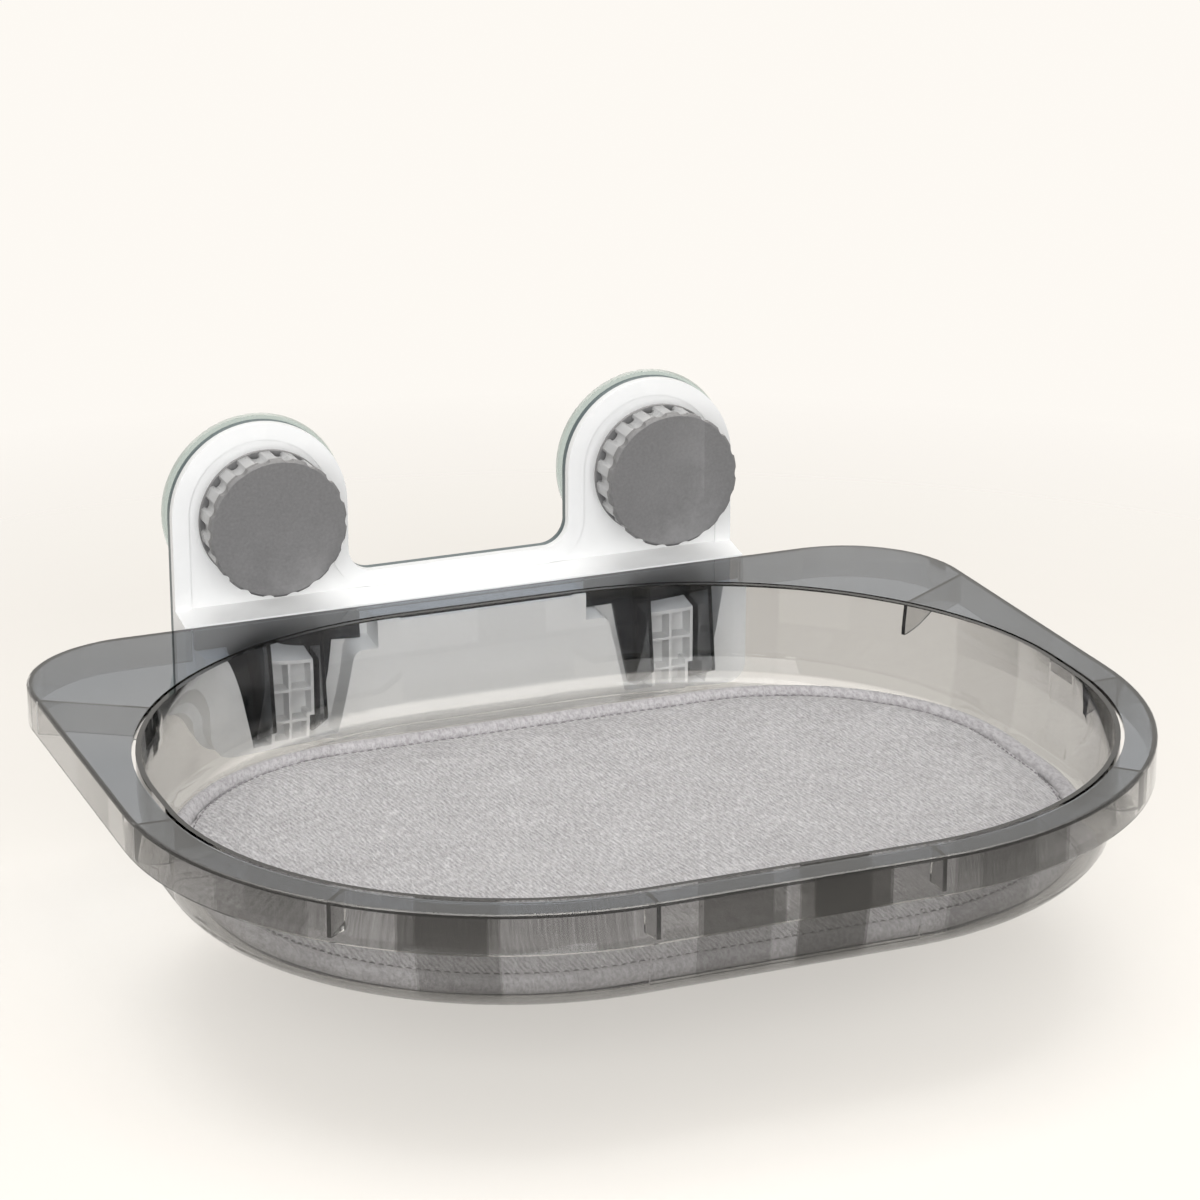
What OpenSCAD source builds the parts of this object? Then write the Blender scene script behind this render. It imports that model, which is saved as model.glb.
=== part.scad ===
// Window mounted cat perch: a clear bowl-shaped bed that hangs on a white bracket,
// which two screw-down suction cups hold to a window pane.
// Frame: origin on the glass, midway between the cup axes. +X runs along the window to the
// right, +Y points into the glass and +Z points up, so the bed stands out towards -Y.
// Names ending in _off are distances from the glass, and names ending in _z are heights.

/* [Bracket] */
// Distance between the two cup axes
cup_pitch = 210; // [206:0.5:216]
// Radius of each ear of the bracket
ear_r = 45.5; // [45:0.25:48]
// Top of the bar between the ears
bar_top_z = -38; // [-42:0.5:-34]
// Radius where an ear runs into the bar
ear_fillet_r = 13; // [8:0.5:16]
// How far the ledge below the ears falls towards the room
ledge_fall = 3.2; // [2:0.1:3.3]
// Width of the front block, which holds the funnels for the bed's hangers
block_w = 291; // [288:0.5:296]
// Top of the front block
block_top_z = -54.5; // [-56:0.25:-54.2]
// Bottom of the bracket
block_low_z = -116.5; // [-124:0.5:-116]
// Radius of the block's bottom corners
block_corner_r = 14; // [8:0.5:18]
// Back of the rear plate from the glass
rear_off = 4.5; // [4:0.25:5]
// Back of the front shell from the glass
shell_off = 8.5; // [8.25:0.25:9]
// Front of the upper plate from the glass
plate_off = 13; // [12.75:0.05:13.1]
// Front of the ledge from the glass, where the bed's hangers lie
seat_off = 29; // [27:0.25:30]
// Front of the block from the glass
block_off = 45; // [44:0.1:46]
// Wall of the white mouldings
wall_t = 2.5; // [2:0.1:2.6]
// Width of the raised border round each ear's panel
border_w = 8.5; // [6:0.5:11]
// Depth of each ear's panel below its border
panel_depth = 1; // [0.4:0.1:1.2]

/* [Hook] */
// Distance of each hook's middle from the middle of the bracket
hook_x = 103; // [102:0.5:104]
// Half the width of the ribbed tongue
tongue_half_w = 12.5; // [11:0.25:13.5]
// Half the width of the tongue's narrower foot
tongue_foot_half_w = 10; // [8:0.25:10.5]
// Top of the tongue's upright lip
tongue_top_z = -69.5; // [-71:0.25:-69]
// Top of the tongue's root, which carries the bed
root_top_z = -87; // [-88:0.25:-86]
// Height at which the tongue narrows
tongue_step_z = -98.5; // [-102:0.5:-95]
// Running gap between hook and hanger
hook_gap = 0.4; // [0.3:0.05:0.5]

/* [Suction cups and knobs] */
// Radius of a suction cup
cup_r = 47.5; // [44:0.5:50]
// Radius of the threaded post
post_r = 8; // [7:0.25:8.5]
// Thread pitch of the post
thread_pitch = 3; // [2:0.25:3]
// Radius of the knob's scalloped cap
cap_r = 35.2; // [32:0.2:35.2]
// Radius of the knob's grip ring
grip_r = 34; // [30:0.2:34.2]
// Number of flutes round a knob
flute_count = 18; // [12:1:20]
// Front of a knob from the glass
knob_front_off = 43.6; // [42:0.2:46]

/* [Bed] */
// Height of the flange's top
flange_z = -50; // [-50.4:0.1:-49.8]
// Thickness of flange, bowl and skirt
bed_t = 2.5; // [2:0.1:2.7]
// Width of the flange beside the bowl's mouth
flange_side_w = 18; // [14:0.5:24]
// Width of the flange in front of the bowl's mouth
flange_front_w = 14; // [11:0.5:20]
// Radius of the flange's back corners
flange_back_r = 60; // [40:1:70]
// Radius of the flange's front corners
flange_front_r = 180; // [150:1:200]
// Height from the flange's top to the skirt's lower edge
skirt_h = 18.5; // [17:0.5:20]
// Half the width of the bowl's mouth
bowl_half_w = 226; // [220:1:230]
// Bowl's front rim from the glass
bowl_front_off = 414; // [400:1:425]
// Radius of the bowl's back corners
bowl_back_r = 180; // [150:1:182]
// Radius of the bowl's front corners
bowl_front_r = 163; // [140:1:170]
// Height of the bed from the flange's top to its underside
bed_h = 54; // [50:0.5:56]
// Height of the curved foot below the bowl's corner line
foot_h = 9; // [7:0.5:10]
// Width of the curved foot, from the corner line to the flat underside
foot_w = 15; // [12:0.5:16]
// How far the bowl's wall leans in from rim to corner line
bowl_draft = 6; // [4:0.25:7]

/* [Mat] */
// Gap from the bowl's mouth to the mat at each side
mat_side_gap = 14; // [13:0.5:26]
// Gap from the bowl's mouth to the mat at the back
mat_back_gap = 51.4; // [40:0.2:60]
// Gap from the bowl's mouth to the mat at the front
mat_front_gap = 15; // [14:0.5:24]
// How much smaller the radius of the mat's back corners is than the bowl's
mat_back_trim = 62; // [56:1:90]
// How much smaller the radius of the mat's front corners is than the bowl's
mat_front_trim = 17; // [16:1:30]
// Thickness of the mat at its middle
mat_t = 8; // [6:0.5:10]
// Radius of the mat's rolled edge
mat_roll_r = 4.6; // [4:0.1:5]

/* [Hidden] */
// Cuts run this far past the faces that they open
overrun = 1;
// Gap that two pieces screwed or moulded together keep on round faces
seat_gap = 0.05;
// Fineness of round faces
round_fn = 96;
small_fn = 32;

// The ears stand on a ledge, whose back meets their panels
ledge_z = bar_top_z - border_w;

// Clearances of the bed: behind its flange, and between its bowl and the block
seat_clear = 0.5;
bowl_clear = 1.1;
flange_back_off = seat_off + seat_clear;
bowl_back_off = block_off + bowl_clear + bed_t;
flange_half_w = bowl_half_w + flange_side_w;
flange_front_off = bowl_front_off + flange_front_w;
mat_half_w = bowl_half_w - mat_side_gap;
mat_back_off = bowl_back_off + mat_back_gap;
mat_front_off = bowl_front_off - mat_front_gap;
mat_back_r = bowl_back_r - mat_back_trim;
mat_front_r = bowl_front_r - mat_front_trim;

// The back skirt leaves the bracket's block free, with only a lip hanging there
skirt_gap = 2.5;
lip_h = 1.2;

// Recess for a hanger, measured outwards from the hook's middle
recess_in_x = -47;
recess_in_step_z = -68;
recess_corner_r = 6;
recess_corner_x = -39.5;
recess_in_low_x = -25;
recess_out_top_x = 29.5;
recess_out_low_x = 19.5;
recess_out_step_z = -63.5;
recess_sill_t = 3.5;
recess_low_z = block_low_z + recess_sill_t;
recess_corner_steps = 8;

// Hanger plate of the bed, measured outwards from the hook's middle
hanger_t = 3;
hanger_in_x = -42;
hanger_out_x = 43.5;
hanger_in_low_z = recess_in_step_z + hook_gap;
hanger_out_low_z = recess_out_step_z + hook_gap;
hanger_neck_half_w = 27;
hanger_foot_half_w = 17.6;
hanger_low_z = recess_low_z + hook_gap;
hanger_slot_half_w = tongue_foot_half_w + hook_gap * 2;
gusset_t = 2;
gusset_x = 16;

// Tongue, from the recess wall outwards
tongue_back_off = flange_back_off + hanger_t + hook_gap;
tongue_front_off = bowl_back_off - bed_t - hook_gap * 3;
tongue_skin_t = 2.4;
tongue_wall_t = 1.6;
tongue_rib_t = 1.4;
// Heights of the tongue's cross ribs as shares of its height from its top
tongue_rib_shares = [0.333, 0.713];

// Collar, washer and bore on each cup axis
collar_r = 27;
collar_front_off = 19.5;
collar_core_r = 14;
collar_pocket_r = 24;
washer_r = 25;
washer_t = 1;
bore_gap = 0.06;
key_w = 2.4;
key_h = 1;
key_gap = 0.2;

// Cup and stud
boss_r = 22;
boss_top_off = 9.5;
collar_clear = 0.5;
boss_hole_r = 23.5;
cup_edge_off = 0.8;
cup_back_off = 2.4;
cup_dish = 1.4;
cup_seal_w = 8;
cup_shoulder_w = 4;
cup_centre_r = 16;
press_ring_in_r = 37;
press_ring_out_r = 43;
press_gap = 0.2;
head_r = 18;
head_low_off = 5;
head_t = 2.5;
post_tip_off = 37;
thread_from_off = 21;
thread_depth = 0.7;

// Knob
knob_back_off = collar_front_off + washer_t + seat_gap;
ring_t = 1.8;
ring_r = 34.6;
grip_front_off = 39.4;
grip_in_r = 28.5;
flute_r = 4.2;
flute_depth = 1.8;
cap_flute_depth = 1.3;
window_w = 4.4;
window_l = 3.4;
hub_r = 15;
nut_r = 11;
nut_l = 14;
nut_bore_r = post_r + bore_gap;
cap_edge_r = 1.2;
spigot_l = 2.6;
knob_rib_t = 2;
knob_rib_count = 6;

// Screws: the same screw everywhere
screw_head_r = 3;
screw_head_h = 1.6;
screw_r = 1.5;
screw_l = 7;
screw_slot_w = 0.8;
screw_slot_depth = 0.7;
screw_hole_r = 1.55;
screw_boss_r = 3.6;
// Height of the screw above each cup as a share of the ear's radius
ear_screw_share = 0.77;
// Places of the block's screws as shares of its half width and of its height from its top
block_screw_shares = [[0.925, 0.675], [0.31, 0.16], [0.31, 0.855]];
// Places of a tongue's screws as shares of its root's height from its top
tongue_screw_shares = [0.23, 0.77];
ear_screws = [[cup_pitch / 2, ear_r * ear_screw_share]];
block_screws = [for (s = block_screw_shares)
    [s[0] * block_w / 2, block_top_z - s[1] * (block_top_z - block_low_z)]];
rear_screws = concat(ear_screws, block_screws);
tongue_screws = [for (s = tongue_screw_shares) [0, root_top_z - s * (root_top_z - recess_low_z)]];

// Soft feet at the block's lower back
bumper_r = 8;
bumper_x = 124;
bumper_z = -105.5;
bumper_edge = 0.8;
bumper_seat_r = 10.5;
bumper_seat_h = 1;

// Shallow panels on the back of the rear plate, with ribs left between them
back_panel_depth = 1.5;
back_panel_w = 40;
back_panel_pitch = 46;
back_panel_low_z = -97.5;
back_panel_high_z = -66.5;

// Mat layers
mat_gap = 0.3;
mat_base_t = 1;
mat_cover_t = 2.4;
mat_shoulder_w = 14;
mat_shoulder_fall = 1;

// Bowl section, measured inwards from its mouth: the foot's arc has its centre at foot_x and foot_z
underside_z = flange_z - bed_h;
floor_z = underside_z + bed_t;
foot_r = (foot_w * foot_w + foot_h * foot_h) / (2 * foot_h);
foot_x = bowl_draft - bed_t + foot_w;
foot_z = underside_z + foot_r;
rim_r = 0.8;
flange_edge_r = 1.2;
mat_low_z = floor_z + mat_gap;

// Ribs under the flange. Shares of a quarter turn give their ends on the bowl's wall and the skirt
rib_t = 2;
rib_rise = 1.5;
wing_rib_share = 0.376;
wing_rib_end_share = 0.054;
front_rib_shares = [[0.047, 0.052], [0.482, 0.494], [0.988, 0.993]];

// Stands a flat shape, drawn in X and Z, between two distances from the glass
module off_glass(near, far)
    translate([0, -near, 0]) rotate([90, 0, 0]) linear_extrude(far - near) children();

// Turns a shape whose own Z is the distance from the glass onto a cup axis
module on_cup_axis(side) translate([side * cup_pitch / 2, 0, 0]) rotate([90, 0, 0]) children();

// Revolves a profile of [radius, distance from the glass] about a cup axis
module revolved(side, profile) on_cup_axis(side) rotate_extrude($fn = round_fn) polygon(profile);

module on_both_sides() {
    children();
    mirror([1, 0, 0]) children();
}

module on_side(side) {
    if (side > 0) children();
    else mirror([1, 0, 0]) children();
}

// Outline of the upper plate with its two ears, drawn inwards by an inset
module plate_shape(inset = 0) {
    half = cup_pitch / 2 + ear_r - inset;
    low = ledge_z - 2 * border_w + inset;
    fillet = ear_fillet_r + inset;
    translate([-half, low]) square([2 * half, bar_top_z - inset - low]);
    on_both_sides() {
        translate([cup_pitch / 2, 0]) circle(r = ear_r - inset, $fn = round_fn);
        translate([cup_pitch / 2 - ear_r + inset, low]) square([2 * (ear_r - inset), -low]);
        translate([cup_pitch / 2 - ear_r - ear_fillet_r, bar_top_z - inset - overrun]) difference() {
            square([fillet + overrun, fillet + overrun]);
            translate([0, fillet + overrun]) circle(r = fillet, $fn = round_fn);
        }
    }
}

// Panel inside the border of ears and bar, down to the ledge
module ear_panels() {
    intersection() {
        plate_shape(border_w);
        translate([-cup_pitch, ledge_z - overrun]) square([2 * cup_pitch, ear_r - ledge_z + overrun]);
    }
}

// Outline of the body that carries the ledge, as wide as the ears
module body_shape(inset = 0, top = ledge_z) {
    half = cup_pitch / 2 + ear_r - inset;
    low = block_low_z + inset;
    corner = block_corner_r - inset;
    translate([-half, low + corner]) square([2 * half, top - low - corner]);
    translate([corner - half, low]) square([2 * (half - corner), corner + overrun]);
    on_both_sides() translate([half - corner, low + corner]) circle(r = corner, $fn = round_fn);
}

// Body from the back of the shell to the ledge's front, with the ledge falling to its front
module ledge_body() {
    half = cup_pitch / 2 + ear_r + overrun;
    difference() {
        off_glass(shell_off, seat_off) body_shape();
        translate([-half, 0, 0]) rotate([90, 0, 90]) linear_extrude(2 * half) polygon([
            [panel_depth - plate_off, ledge_z], [-seat_off, ledge_z - ledge_fall],
            [-seat_off - overrun, ledge_z - ledge_fall], [-seat_off - overrun, ledge_z + overrun],
            [panel_depth - plate_off, ledge_z + overrun]
        ]);
    }
}

// Outline of the block with its rounded bottom corners
module block_shape(inset = 0, top = block_top_z) {
    half = block_w / 2 - inset;
    low = block_low_z + inset;
    corner = block_corner_r - inset;
    translate([-half, low + corner]) square([2 * half, top - low - corner]);
    translate([corner - half, low]) square([2 * (half - corner), corner + overrun]);
    on_both_sides() translate([half - corner, low + corner]) circle(r = corner, $fn = round_fn);
}

// Funnel that takes a hanger, grown outwards by a margin, right-hand side
function recess_points(grow) =
    let (
        in_lean = atan((recess_in_low_x - recess_corner_x - recess_corner_r)
            / (recess_in_step_z - recess_corner_r - recess_low_z)),
        out_lean = atan((recess_out_top_x - recess_out_low_x) / (recess_out_step_z - recess_low_z)),
        top = block_top_z + overrun,
        low = recess_low_z - grow,
        r = recess_corner_r - grow,
        centre_z = recess_in_step_z - recess_corner_r,
        far_x = block_w / 2 - hook_x + overrun
    )
    concat(
        [[recess_in_x - grow, top], [recess_in_x - grow, recess_in_step_z - grow]],
        [for (i = [0 : recess_corner_steps])
            let (a = 90 - (90 - in_lean) * i / recess_corner_steps)
            [recess_corner_x + r * cos(a), centre_z + r * sin(a)]],
        [
            [recess_in_low_x - grow / cos(in_lean), low],
            [recess_out_low_x + grow / cos(out_lean), low],
            [recess_out_top_x + grow / cos(out_lean), recess_out_step_z - grow],
            [far_x, recess_out_step_z - grow],
            [far_x, top]
        ]
    );

module recess_shape(grow = 0)
    on_both_sides() translate([hook_x, 0]) polygon(recess_points(grow));

module screw_places(places) {
    for (p = places) translate([p[0], p[1]]) children();
}

// White front shell: ears and bar, the block with its two funnels, and the collars
module bracket_front() {
    color("white") difference() {
        union() {
            difference() {
                union() {
                    difference() {
                        off_glass(shell_off, plate_off) plate_shape();
                        off_glass(plate_off - panel_depth, plate_off + overrun) ear_panels();
                    }
                    ledge_body();
                    off_glass(seat_off - wall_t, block_off) difference() {
                        block_shape();
                        recess_shape();
                    }
                }
                off_glass(shell_off - overrun, plate_off - panel_depth - wall_t) plate_shape(wall_t);
                off_glass(shell_off - overrun, seat_off - wall_t)
                    body_shape(wall_t, ledge_z - ledge_fall - wall_t);
                off_glass(shell_off - overrun, block_off - wall_t) difference() {
                    block_shape(wall_t, block_top_z - wall_t);
                    recess_shape(wall_t);
                }
            }
            collars();
            rear_screw_bosses();
            block_ribs();
        }
        stud_bores();
        rear_screw_bores();
        tongue_screw_bores();
    }
}

// Round collar that carries the knob's washer, with a hollow ring behind it
module collars() {
    for (side = [-1, 1]) revolved(side, [
        [0, boss_top_off + collar_clear], [collar_core_r, boss_top_off + collar_clear],
        [collar_core_r, collar_front_off - wall_t], [collar_pocket_r, collar_front_off - wall_t],
        [collar_pocket_r, plate_off - panel_depth - wall_t], [collar_r, plate_off - panel_depth - wall_t],
        [collar_r, collar_front_off], [0, collar_front_off]
    ]);
}

// Bores for the posts, each with two keys that stop its stud from turning
module stud_bores() {
    for (side = [-1, 1]) {
        difference() {
            revolved(side, [
                [0, shell_off], [post_r + bore_gap, shell_off],
                [post_r + bore_gap, collar_front_off + overrun], [0, collar_front_off + overrun]
            ]);
            for (a = [0, 180]) on_cup_axis(side) rotate([0, 0, a])
                translate([post_r - key_h, -key_w / 2, boss_top_off])
                cube([key_h * 2, key_w, plate_off + overrun - boss_top_off]);
        }
    }
}

module rear_screw_bosses() {
    on_both_sides() {
        off_glass(shell_off, plate_off - panel_depth - wall_t / 2)
            screw_places(ear_screws) circle(r = screw_boss_r, $fn = small_fn);
        off_glass(shell_off, block_off - wall_t / 2)
            screw_places(block_screws) circle(r = screw_boss_r, $fn = small_fn);
    }
}

module rear_screw_bores() {
    depth = rear_off + screw_l + seat_gap;
    on_both_sides() off_glass(shell_off - overrun, depth)
        screw_places(rear_screws) circle(r = screw_hole_r, $fn = small_fn);
}

module tongue_screw_bores() {
    on_both_sides() off_glass(seat_off - wall_t - overrun, seat_off + overrun) translate([hook_x, 0])
        screw_places(tongue_screws) circle(r = screw_hole_r, $fn = small_fn);
}

// Upright ribs that stiffen the hollow block between the funnels
module block_ribs() {
    for (x = [-back_panel_pitch / 2, back_panel_pitch / 2]) off_glass(shell_off, block_off - wall_t)
        translate([x - wall_t / 2, block_low_z + wall_t / 2])
        square([wall_t, block_top_z - block_low_z - wall_t]);
}

// Rear plate: closes the shell, lets the cup bosses through and presses on the cup rims
module bracket_rear() {
    color("white") difference() {
        union() {
            off_glass(rear_off, shell_off) {
                plate_shape();
                body_shape();
            }
            for (side = [-1, 1]) revolved(side, [
                [press_ring_in_r, cup_back_off + press_gap], [press_ring_out_r, cup_back_off + press_gap],
                [press_ring_out_r, rear_off + seat_gap], [press_ring_in_r, rear_off + seat_gap]
            ]);
            on_both_sides() off_glass(rear_off - bumper_seat_h, rear_off + seat_gap)
                translate([bumper_x, bumper_z]) circle(r = bumper_seat_r, $fn = small_fn);
        }
        for (side = [-1, 1]) revolved(side, [
            [0, 0], [boss_hole_r, 0], [boss_hole_r, shell_off + overrun], [0, shell_off + overrun]
        ]);
        on_both_sides() {
            off_glass(rear_off - overrun, shell_off + overrun)
                screw_places(rear_screws) circle(r = screw_hole_r, $fn = small_fn);
            off_glass(rear_off - overrun, rear_off + screw_head_h + seat_gap)
                screw_places(rear_screws) circle(r = screw_head_r + seat_gap * 2, $fn = small_fn);
            off_glass(0, rear_off) translate([bumper_x, bumper_z]) circle(r = bumper_r, $fn = small_fn);
        }
        back_panels();
    }
}

module back_panels() {
    for (i = [-1 : 1]) off_glass(rear_off - overrun, rear_off + back_panel_depth)
        translate([i * back_panel_pitch - back_panel_w / 2, back_panel_low_z])
        square([back_panel_w, back_panel_high_z - back_panel_low_z]);
}

// One screw along -Y with its head's top at the origin
module screw() {
    rotate([90, 0, 0]) difference() {
        rotate_extrude($fn = small_fn) polygon([
            [0, 0], [screw_head_r, 0], [screw_head_r, screw_head_h / 2], [screw_r, screw_head_h],
            [screw_r, screw_l - screw_r], [screw_r / 2, screw_l - seat_gap], [0, screw_l - seat_gap]
        ]);
        for (a = [0, 90]) rotate([0, 0, a])
            translate([-screw_head_r * 2 / 3, -screw_slot_w / 2, -overrun])
            cube([screw_head_r * 4 / 3, screw_slot_w, overrun + screw_slot_depth]);
    }
}

module bracket_screws() {
    color("silver") on_both_sides() {
        for (p = rear_screws) translate([p[0], -rear_off, p[1]]) screw();
        for (p = tongue_screws)
            translate([hook_x + p[0], screw_head_h - seat_off + wall_t, p[1]]) screw();
    }
}

// Soft feet that rest on the glass
module bumper_pads() {
    color("dimgray") on_both_sides() translate([bumper_x, 0, bumper_z]) rotate([90, 0, 0])
        rotate_extrude($fn = small_fn) polygon([
            [0, 0], [bumper_r - bumper_edge, 0], [bumper_r - seat_gap, bumper_edge],
            [bumper_r - seat_gap, rear_off], [0, rear_off]
        ]);
}

// Ribbed tongue: a root on the recess wall and an upright lip in front of the hanger's slot
module tongue(side) {
    color("gainsboro") on_side(side) translate([hook_x, 0, 0]) difference() {
        union() {
            off_glass(seat_off, tongue_back_off + tongue_skin_t)
                translate([-tongue_foot_half_w, recess_low_z])
                square([2 * tongue_foot_half_w, root_top_z - recess_low_z]);
            off_glass(tongue_back_off, tongue_front_off) tongue_shape();
        }
        off_glass(tongue_back_off + tongue_skin_t, tongue_front_off + overrun) difference() {
            tongue_shape(tongue_wall_t);
            tongue_grid();
        }
        off_glass(seat_off - overrun, tongue_back_off + seat_gap)
            screw_places(tongue_screws) circle(r = screw_hole_r, $fn = small_fn);
    }
}

module tongue_shape(inset = 0) {
    foot = tongue_foot_half_w - inset;
    lip = tongue_half_w - inset;
    translate([-foot, recess_low_z + inset]) square([2 * foot, tongue_top_z - recess_low_z - 2 * inset]);
    translate([-lip, tongue_step_z + inset]) square([2 * lip, tongue_top_z - tongue_step_z - 2 * inset]);
}

module tongue_grid() {
    translate([-tongue_rib_t / 2, recess_low_z]) square([tongue_rib_t, tongue_top_z - recess_low_z]);
    for (s = tongue_rib_shares)
        translate([-tongue_half_w, tongue_top_z - s * (tongue_top_z - recess_low_z) - tongue_rib_t / 2])
        square([2 * tongue_half_w, tongue_rib_t]);
}

// Clear cup: flat sealing ring on the glass, dished middle, boss moulded round the stud's head
module cup(side) {
    color("lightcyan", 0.5) revolved(side, [
        [0, cup_dish], [cup_centre_r, cup_dish], [cup_r - cup_seal_w * 3 / 2, cup_dish / 6],
        [cup_r - cup_seal_w, 0], [cup_r - cup_edge_off / 2, 0], [cup_r, cup_edge_off],
        [cup_r - cup_edge_off, cup_back_off], [press_ring_in_r - cup_edge_off, cup_back_off],
        [boss_r + cup_shoulder_w, rear_off - cup_edge_off], [boss_r, rear_off],
        [boss_r, boss_top_off - cup_edge_off],
        [boss_r - cup_edge_off, boss_top_off], [post_r + seat_gap, boss_top_off],
        [post_r + seat_gap, head_low_off + head_t], [head_r + seat_gap, head_low_off + head_t],
        [head_r + seat_gap, head_low_off], [0, head_low_off]
    ]);
}

// Threads drawn as rings, from the first ring to the tip
function thread_points(r, depth, from, to) =
    let (turns = floor((to - from) / thread_pitch))
    [for (i = [0 : turns - 1], step = [0 : 2])
        let (start = from + i * thread_pitch)
        step == 0 ? [r, start + thread_pitch / 4]
            : step == 1 ? [r - depth, start + thread_pitch / 2]
            : [r, start + thread_pitch * 3 / 4]];

// Stud: head inside the cup's boss and a threaded post with two keyways
module stud(side) {
    color("darkslategray") difference() {
        revolved(side, concat(
            [[0, head_low_off], [head_r, head_low_off], [head_r, head_low_off + head_t],
                [post_r, head_low_off + head_t]],
            thread_points(post_r, thread_depth, thread_from_off, post_tip_off),
            [[post_r - thread_depth, post_tip_off], [0, post_tip_off]]
        ));
        on_cup_axis(side) for (a = [0, 180]) rotate([0, 0, a])
            translate([post_r - key_h - key_gap, -key_w / 2 - key_gap, boss_top_off - overrun / 2])
            cube([key_h * 2 + key_gap, key_w + 2 * key_gap, post_tip_off]);
    }
}

module washer(side) {
    color("whitesmoke") revolved(side, [
        [post_r + overrun, collar_front_off], [washer_r, collar_front_off],
        [washer_r, collar_front_off + washer_t], [post_r + overrun, collar_front_off + washer_t]
    ]);
}

// Brass insert with the thread that draws the post
module nut(side) {
    from = grip_front_off - spigot_l - nut_l;
    to = grip_front_off - spigot_l;
    color("goldenrod") revolved(side, concat(
        [[nut_bore_r + thread_depth, from]],
        thread_points(nut_bore_r, -thread_depth, from, to),
        [[nut_bore_r + thread_depth, to], [nut_r, to], [nut_r, from]]
    ));
}

// Knob hub with the thin back ring, a pocket for the insert and ribs out to the grip
module knob_body(side) {
    rib_to_off = grip_front_off - spigot_l - knob_rib_t;
    pocket_off = grip_front_off - spigot_l - nut_l;
    color("dimgray") difference() {
        union() {
            revolved(side, [
                [post_r + overrun, knob_back_off], [ring_r - cup_edge_off / 2, knob_back_off],
                [ring_r, knob_back_off + ring_t / 2], [ring_r - cup_edge_off / 2, knob_back_off + ring_t],
                [hub_r, knob_back_off + ring_t], [hub_r, grip_front_off - spigot_l],
                [nut_r + seat_gap, grip_front_off - spigot_l], [nut_r + seat_gap, pocket_off],
                [post_r + overrun, pocket_off]
            ]);
            on_cup_axis(side) for (i = [0 : knob_rib_count - 1]) rotate([0, 0, i * 360 / knob_rib_count])
                translate([hub_r - overrun / 2, -knob_rib_t / 2, knob_back_off + ring_t / 2])
                cube([grip_in_r - seat_gap - hub_r + overrun / 2, knob_rib_t,
                    rib_to_off - knob_back_off - ring_t / 2]);
        }
    }
}

// Round outline with flutes cut into it
module fluted_circle(r, depth) {
    difference() {
        circle(r = r, $fn = round_fn);
        for (i = [0 : flute_count - 1]) rotate(i * 360 / flute_count)
            translate([r + flute_r - depth, 0]) circle(r = flute_r, $fn = small_fn);
    }
}

// Grip ring with a window at the back of each flute
module knob_grip(side) {
    back = knob_back_off + ring_t;
    color("silver") on_cup_axis(side) difference() {
        translate([0, 0, back]) linear_extrude(grip_front_off - back) difference() {
            fluted_circle(grip_r, flute_depth);
            circle(r = grip_in_r, $fn = round_fn);
        }
        for (i = [0 : flute_count - 1]) rotate([0, 0, i * 360 / flute_count])
            translate([grip_in_r - overrun, -window_w / 2, back - overrun])
            cube([grip_r - grip_in_r + 2 * overrun, window_w, window_l + overrun]);
    }
}

// Scalloped front disc with a spigot inside the grip ring
module knob_cap(side) {
    color("dimgray") {
        intersection() {
            on_cup_axis(side) translate([0, 0, grip_front_off])
                linear_extrude(knob_front_off - grip_front_off) fluted_circle(cap_r, cap_flute_depth);
            revolved(side, [
                [0, grip_front_off], [cap_r + overrun, grip_front_off],
                [cap_r + overrun, knob_front_off - cap_edge_r - overrun],
                [cap_r - cap_edge_r, knob_front_off], [0, knob_front_off]
            ]);
        }
        revolved(side, [
            [grip_in_r - wall_t, grip_front_off - spigot_l],
            [grip_in_r - seat_gap, grip_front_off - spigot_l],
            [grip_in_r - seat_gap, grip_front_off + wall_t / 2],
            [grip_in_r - wall_t, grip_front_off + wall_t / 2]
        ]);
    }
}

// A round corner with its middle at the origin, wide enough to run into the shapes beside it
module quarter(r, start) rotate(start) intersection() {
    circle(r = r, $fn = round_fn);
    translate([-r / 4, -r / 4]) square(r * 3 / 2);
}

// Flat outline of the bed, seen from above, with round corners
module bed_shape(half_w, back_off, front_off, back_r, front_r) {
    back_x = half_w - back_r;
    front_x = half_w - front_r;
    back_y = -(back_off + back_r);
    front_y = -(front_off - front_r);
    translate([-half_w, front_y]) square([2 * half_w, back_y - front_y]);
    translate([-back_x, front_y]) square([2 * back_x, -back_off - front_y]);
    translate([-front_x, -front_off]) square([2 * front_x, front_off + back_y]);
    on_both_sides() {
        translate([back_x, back_y]) quarter(back_r, 0);
        translate([front_x, front_y]) quarter(front_r, -90);
    }
}

// Takes a section, drawn as [distance inwards from the outline, height], round a bed outline
module swept(half_w, back_off, front_off, back_r, front_r) {
    back_x = half_w - back_r;
    front_x = half_w - front_r;
    back_y = -(back_off + back_r);
    front_y = -(front_off - front_r);
    on_both_sides() {
        translate([back_x, back_y, 0]) rotate_extrude(angle = 90, $fn = round_fn)
            translate([back_r, 0]) mirror([1, 0]) children();
        translate([front_x, front_y, 0]) rotate([0, 0, -90]) rotate_extrude(angle = 90, $fn = round_fn)
            translate([front_r, 0]) mirror([1, 0]) children();
        translate([half_w, back_y, 0]) rotate([90, 0, 0]) linear_extrude(back_y - front_y)
            mirror([1, 0]) children();
    }
    translate([-back_x, -back_off, 0]) rotate([90, 0, 90]) linear_extrude(2 * back_x)
        mirror([1, 0]) children();
    translate([-front_x, -front_off, 0]) rotate([90, 0, 90]) linear_extrude(2 * front_x) children();
}

module flange_shape(inset) bed_shape(
    flange_half_w - inset, flange_back_off + inset, flange_front_off - inset,
    flange_back_r - inset, flange_front_r - inset
);

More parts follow.
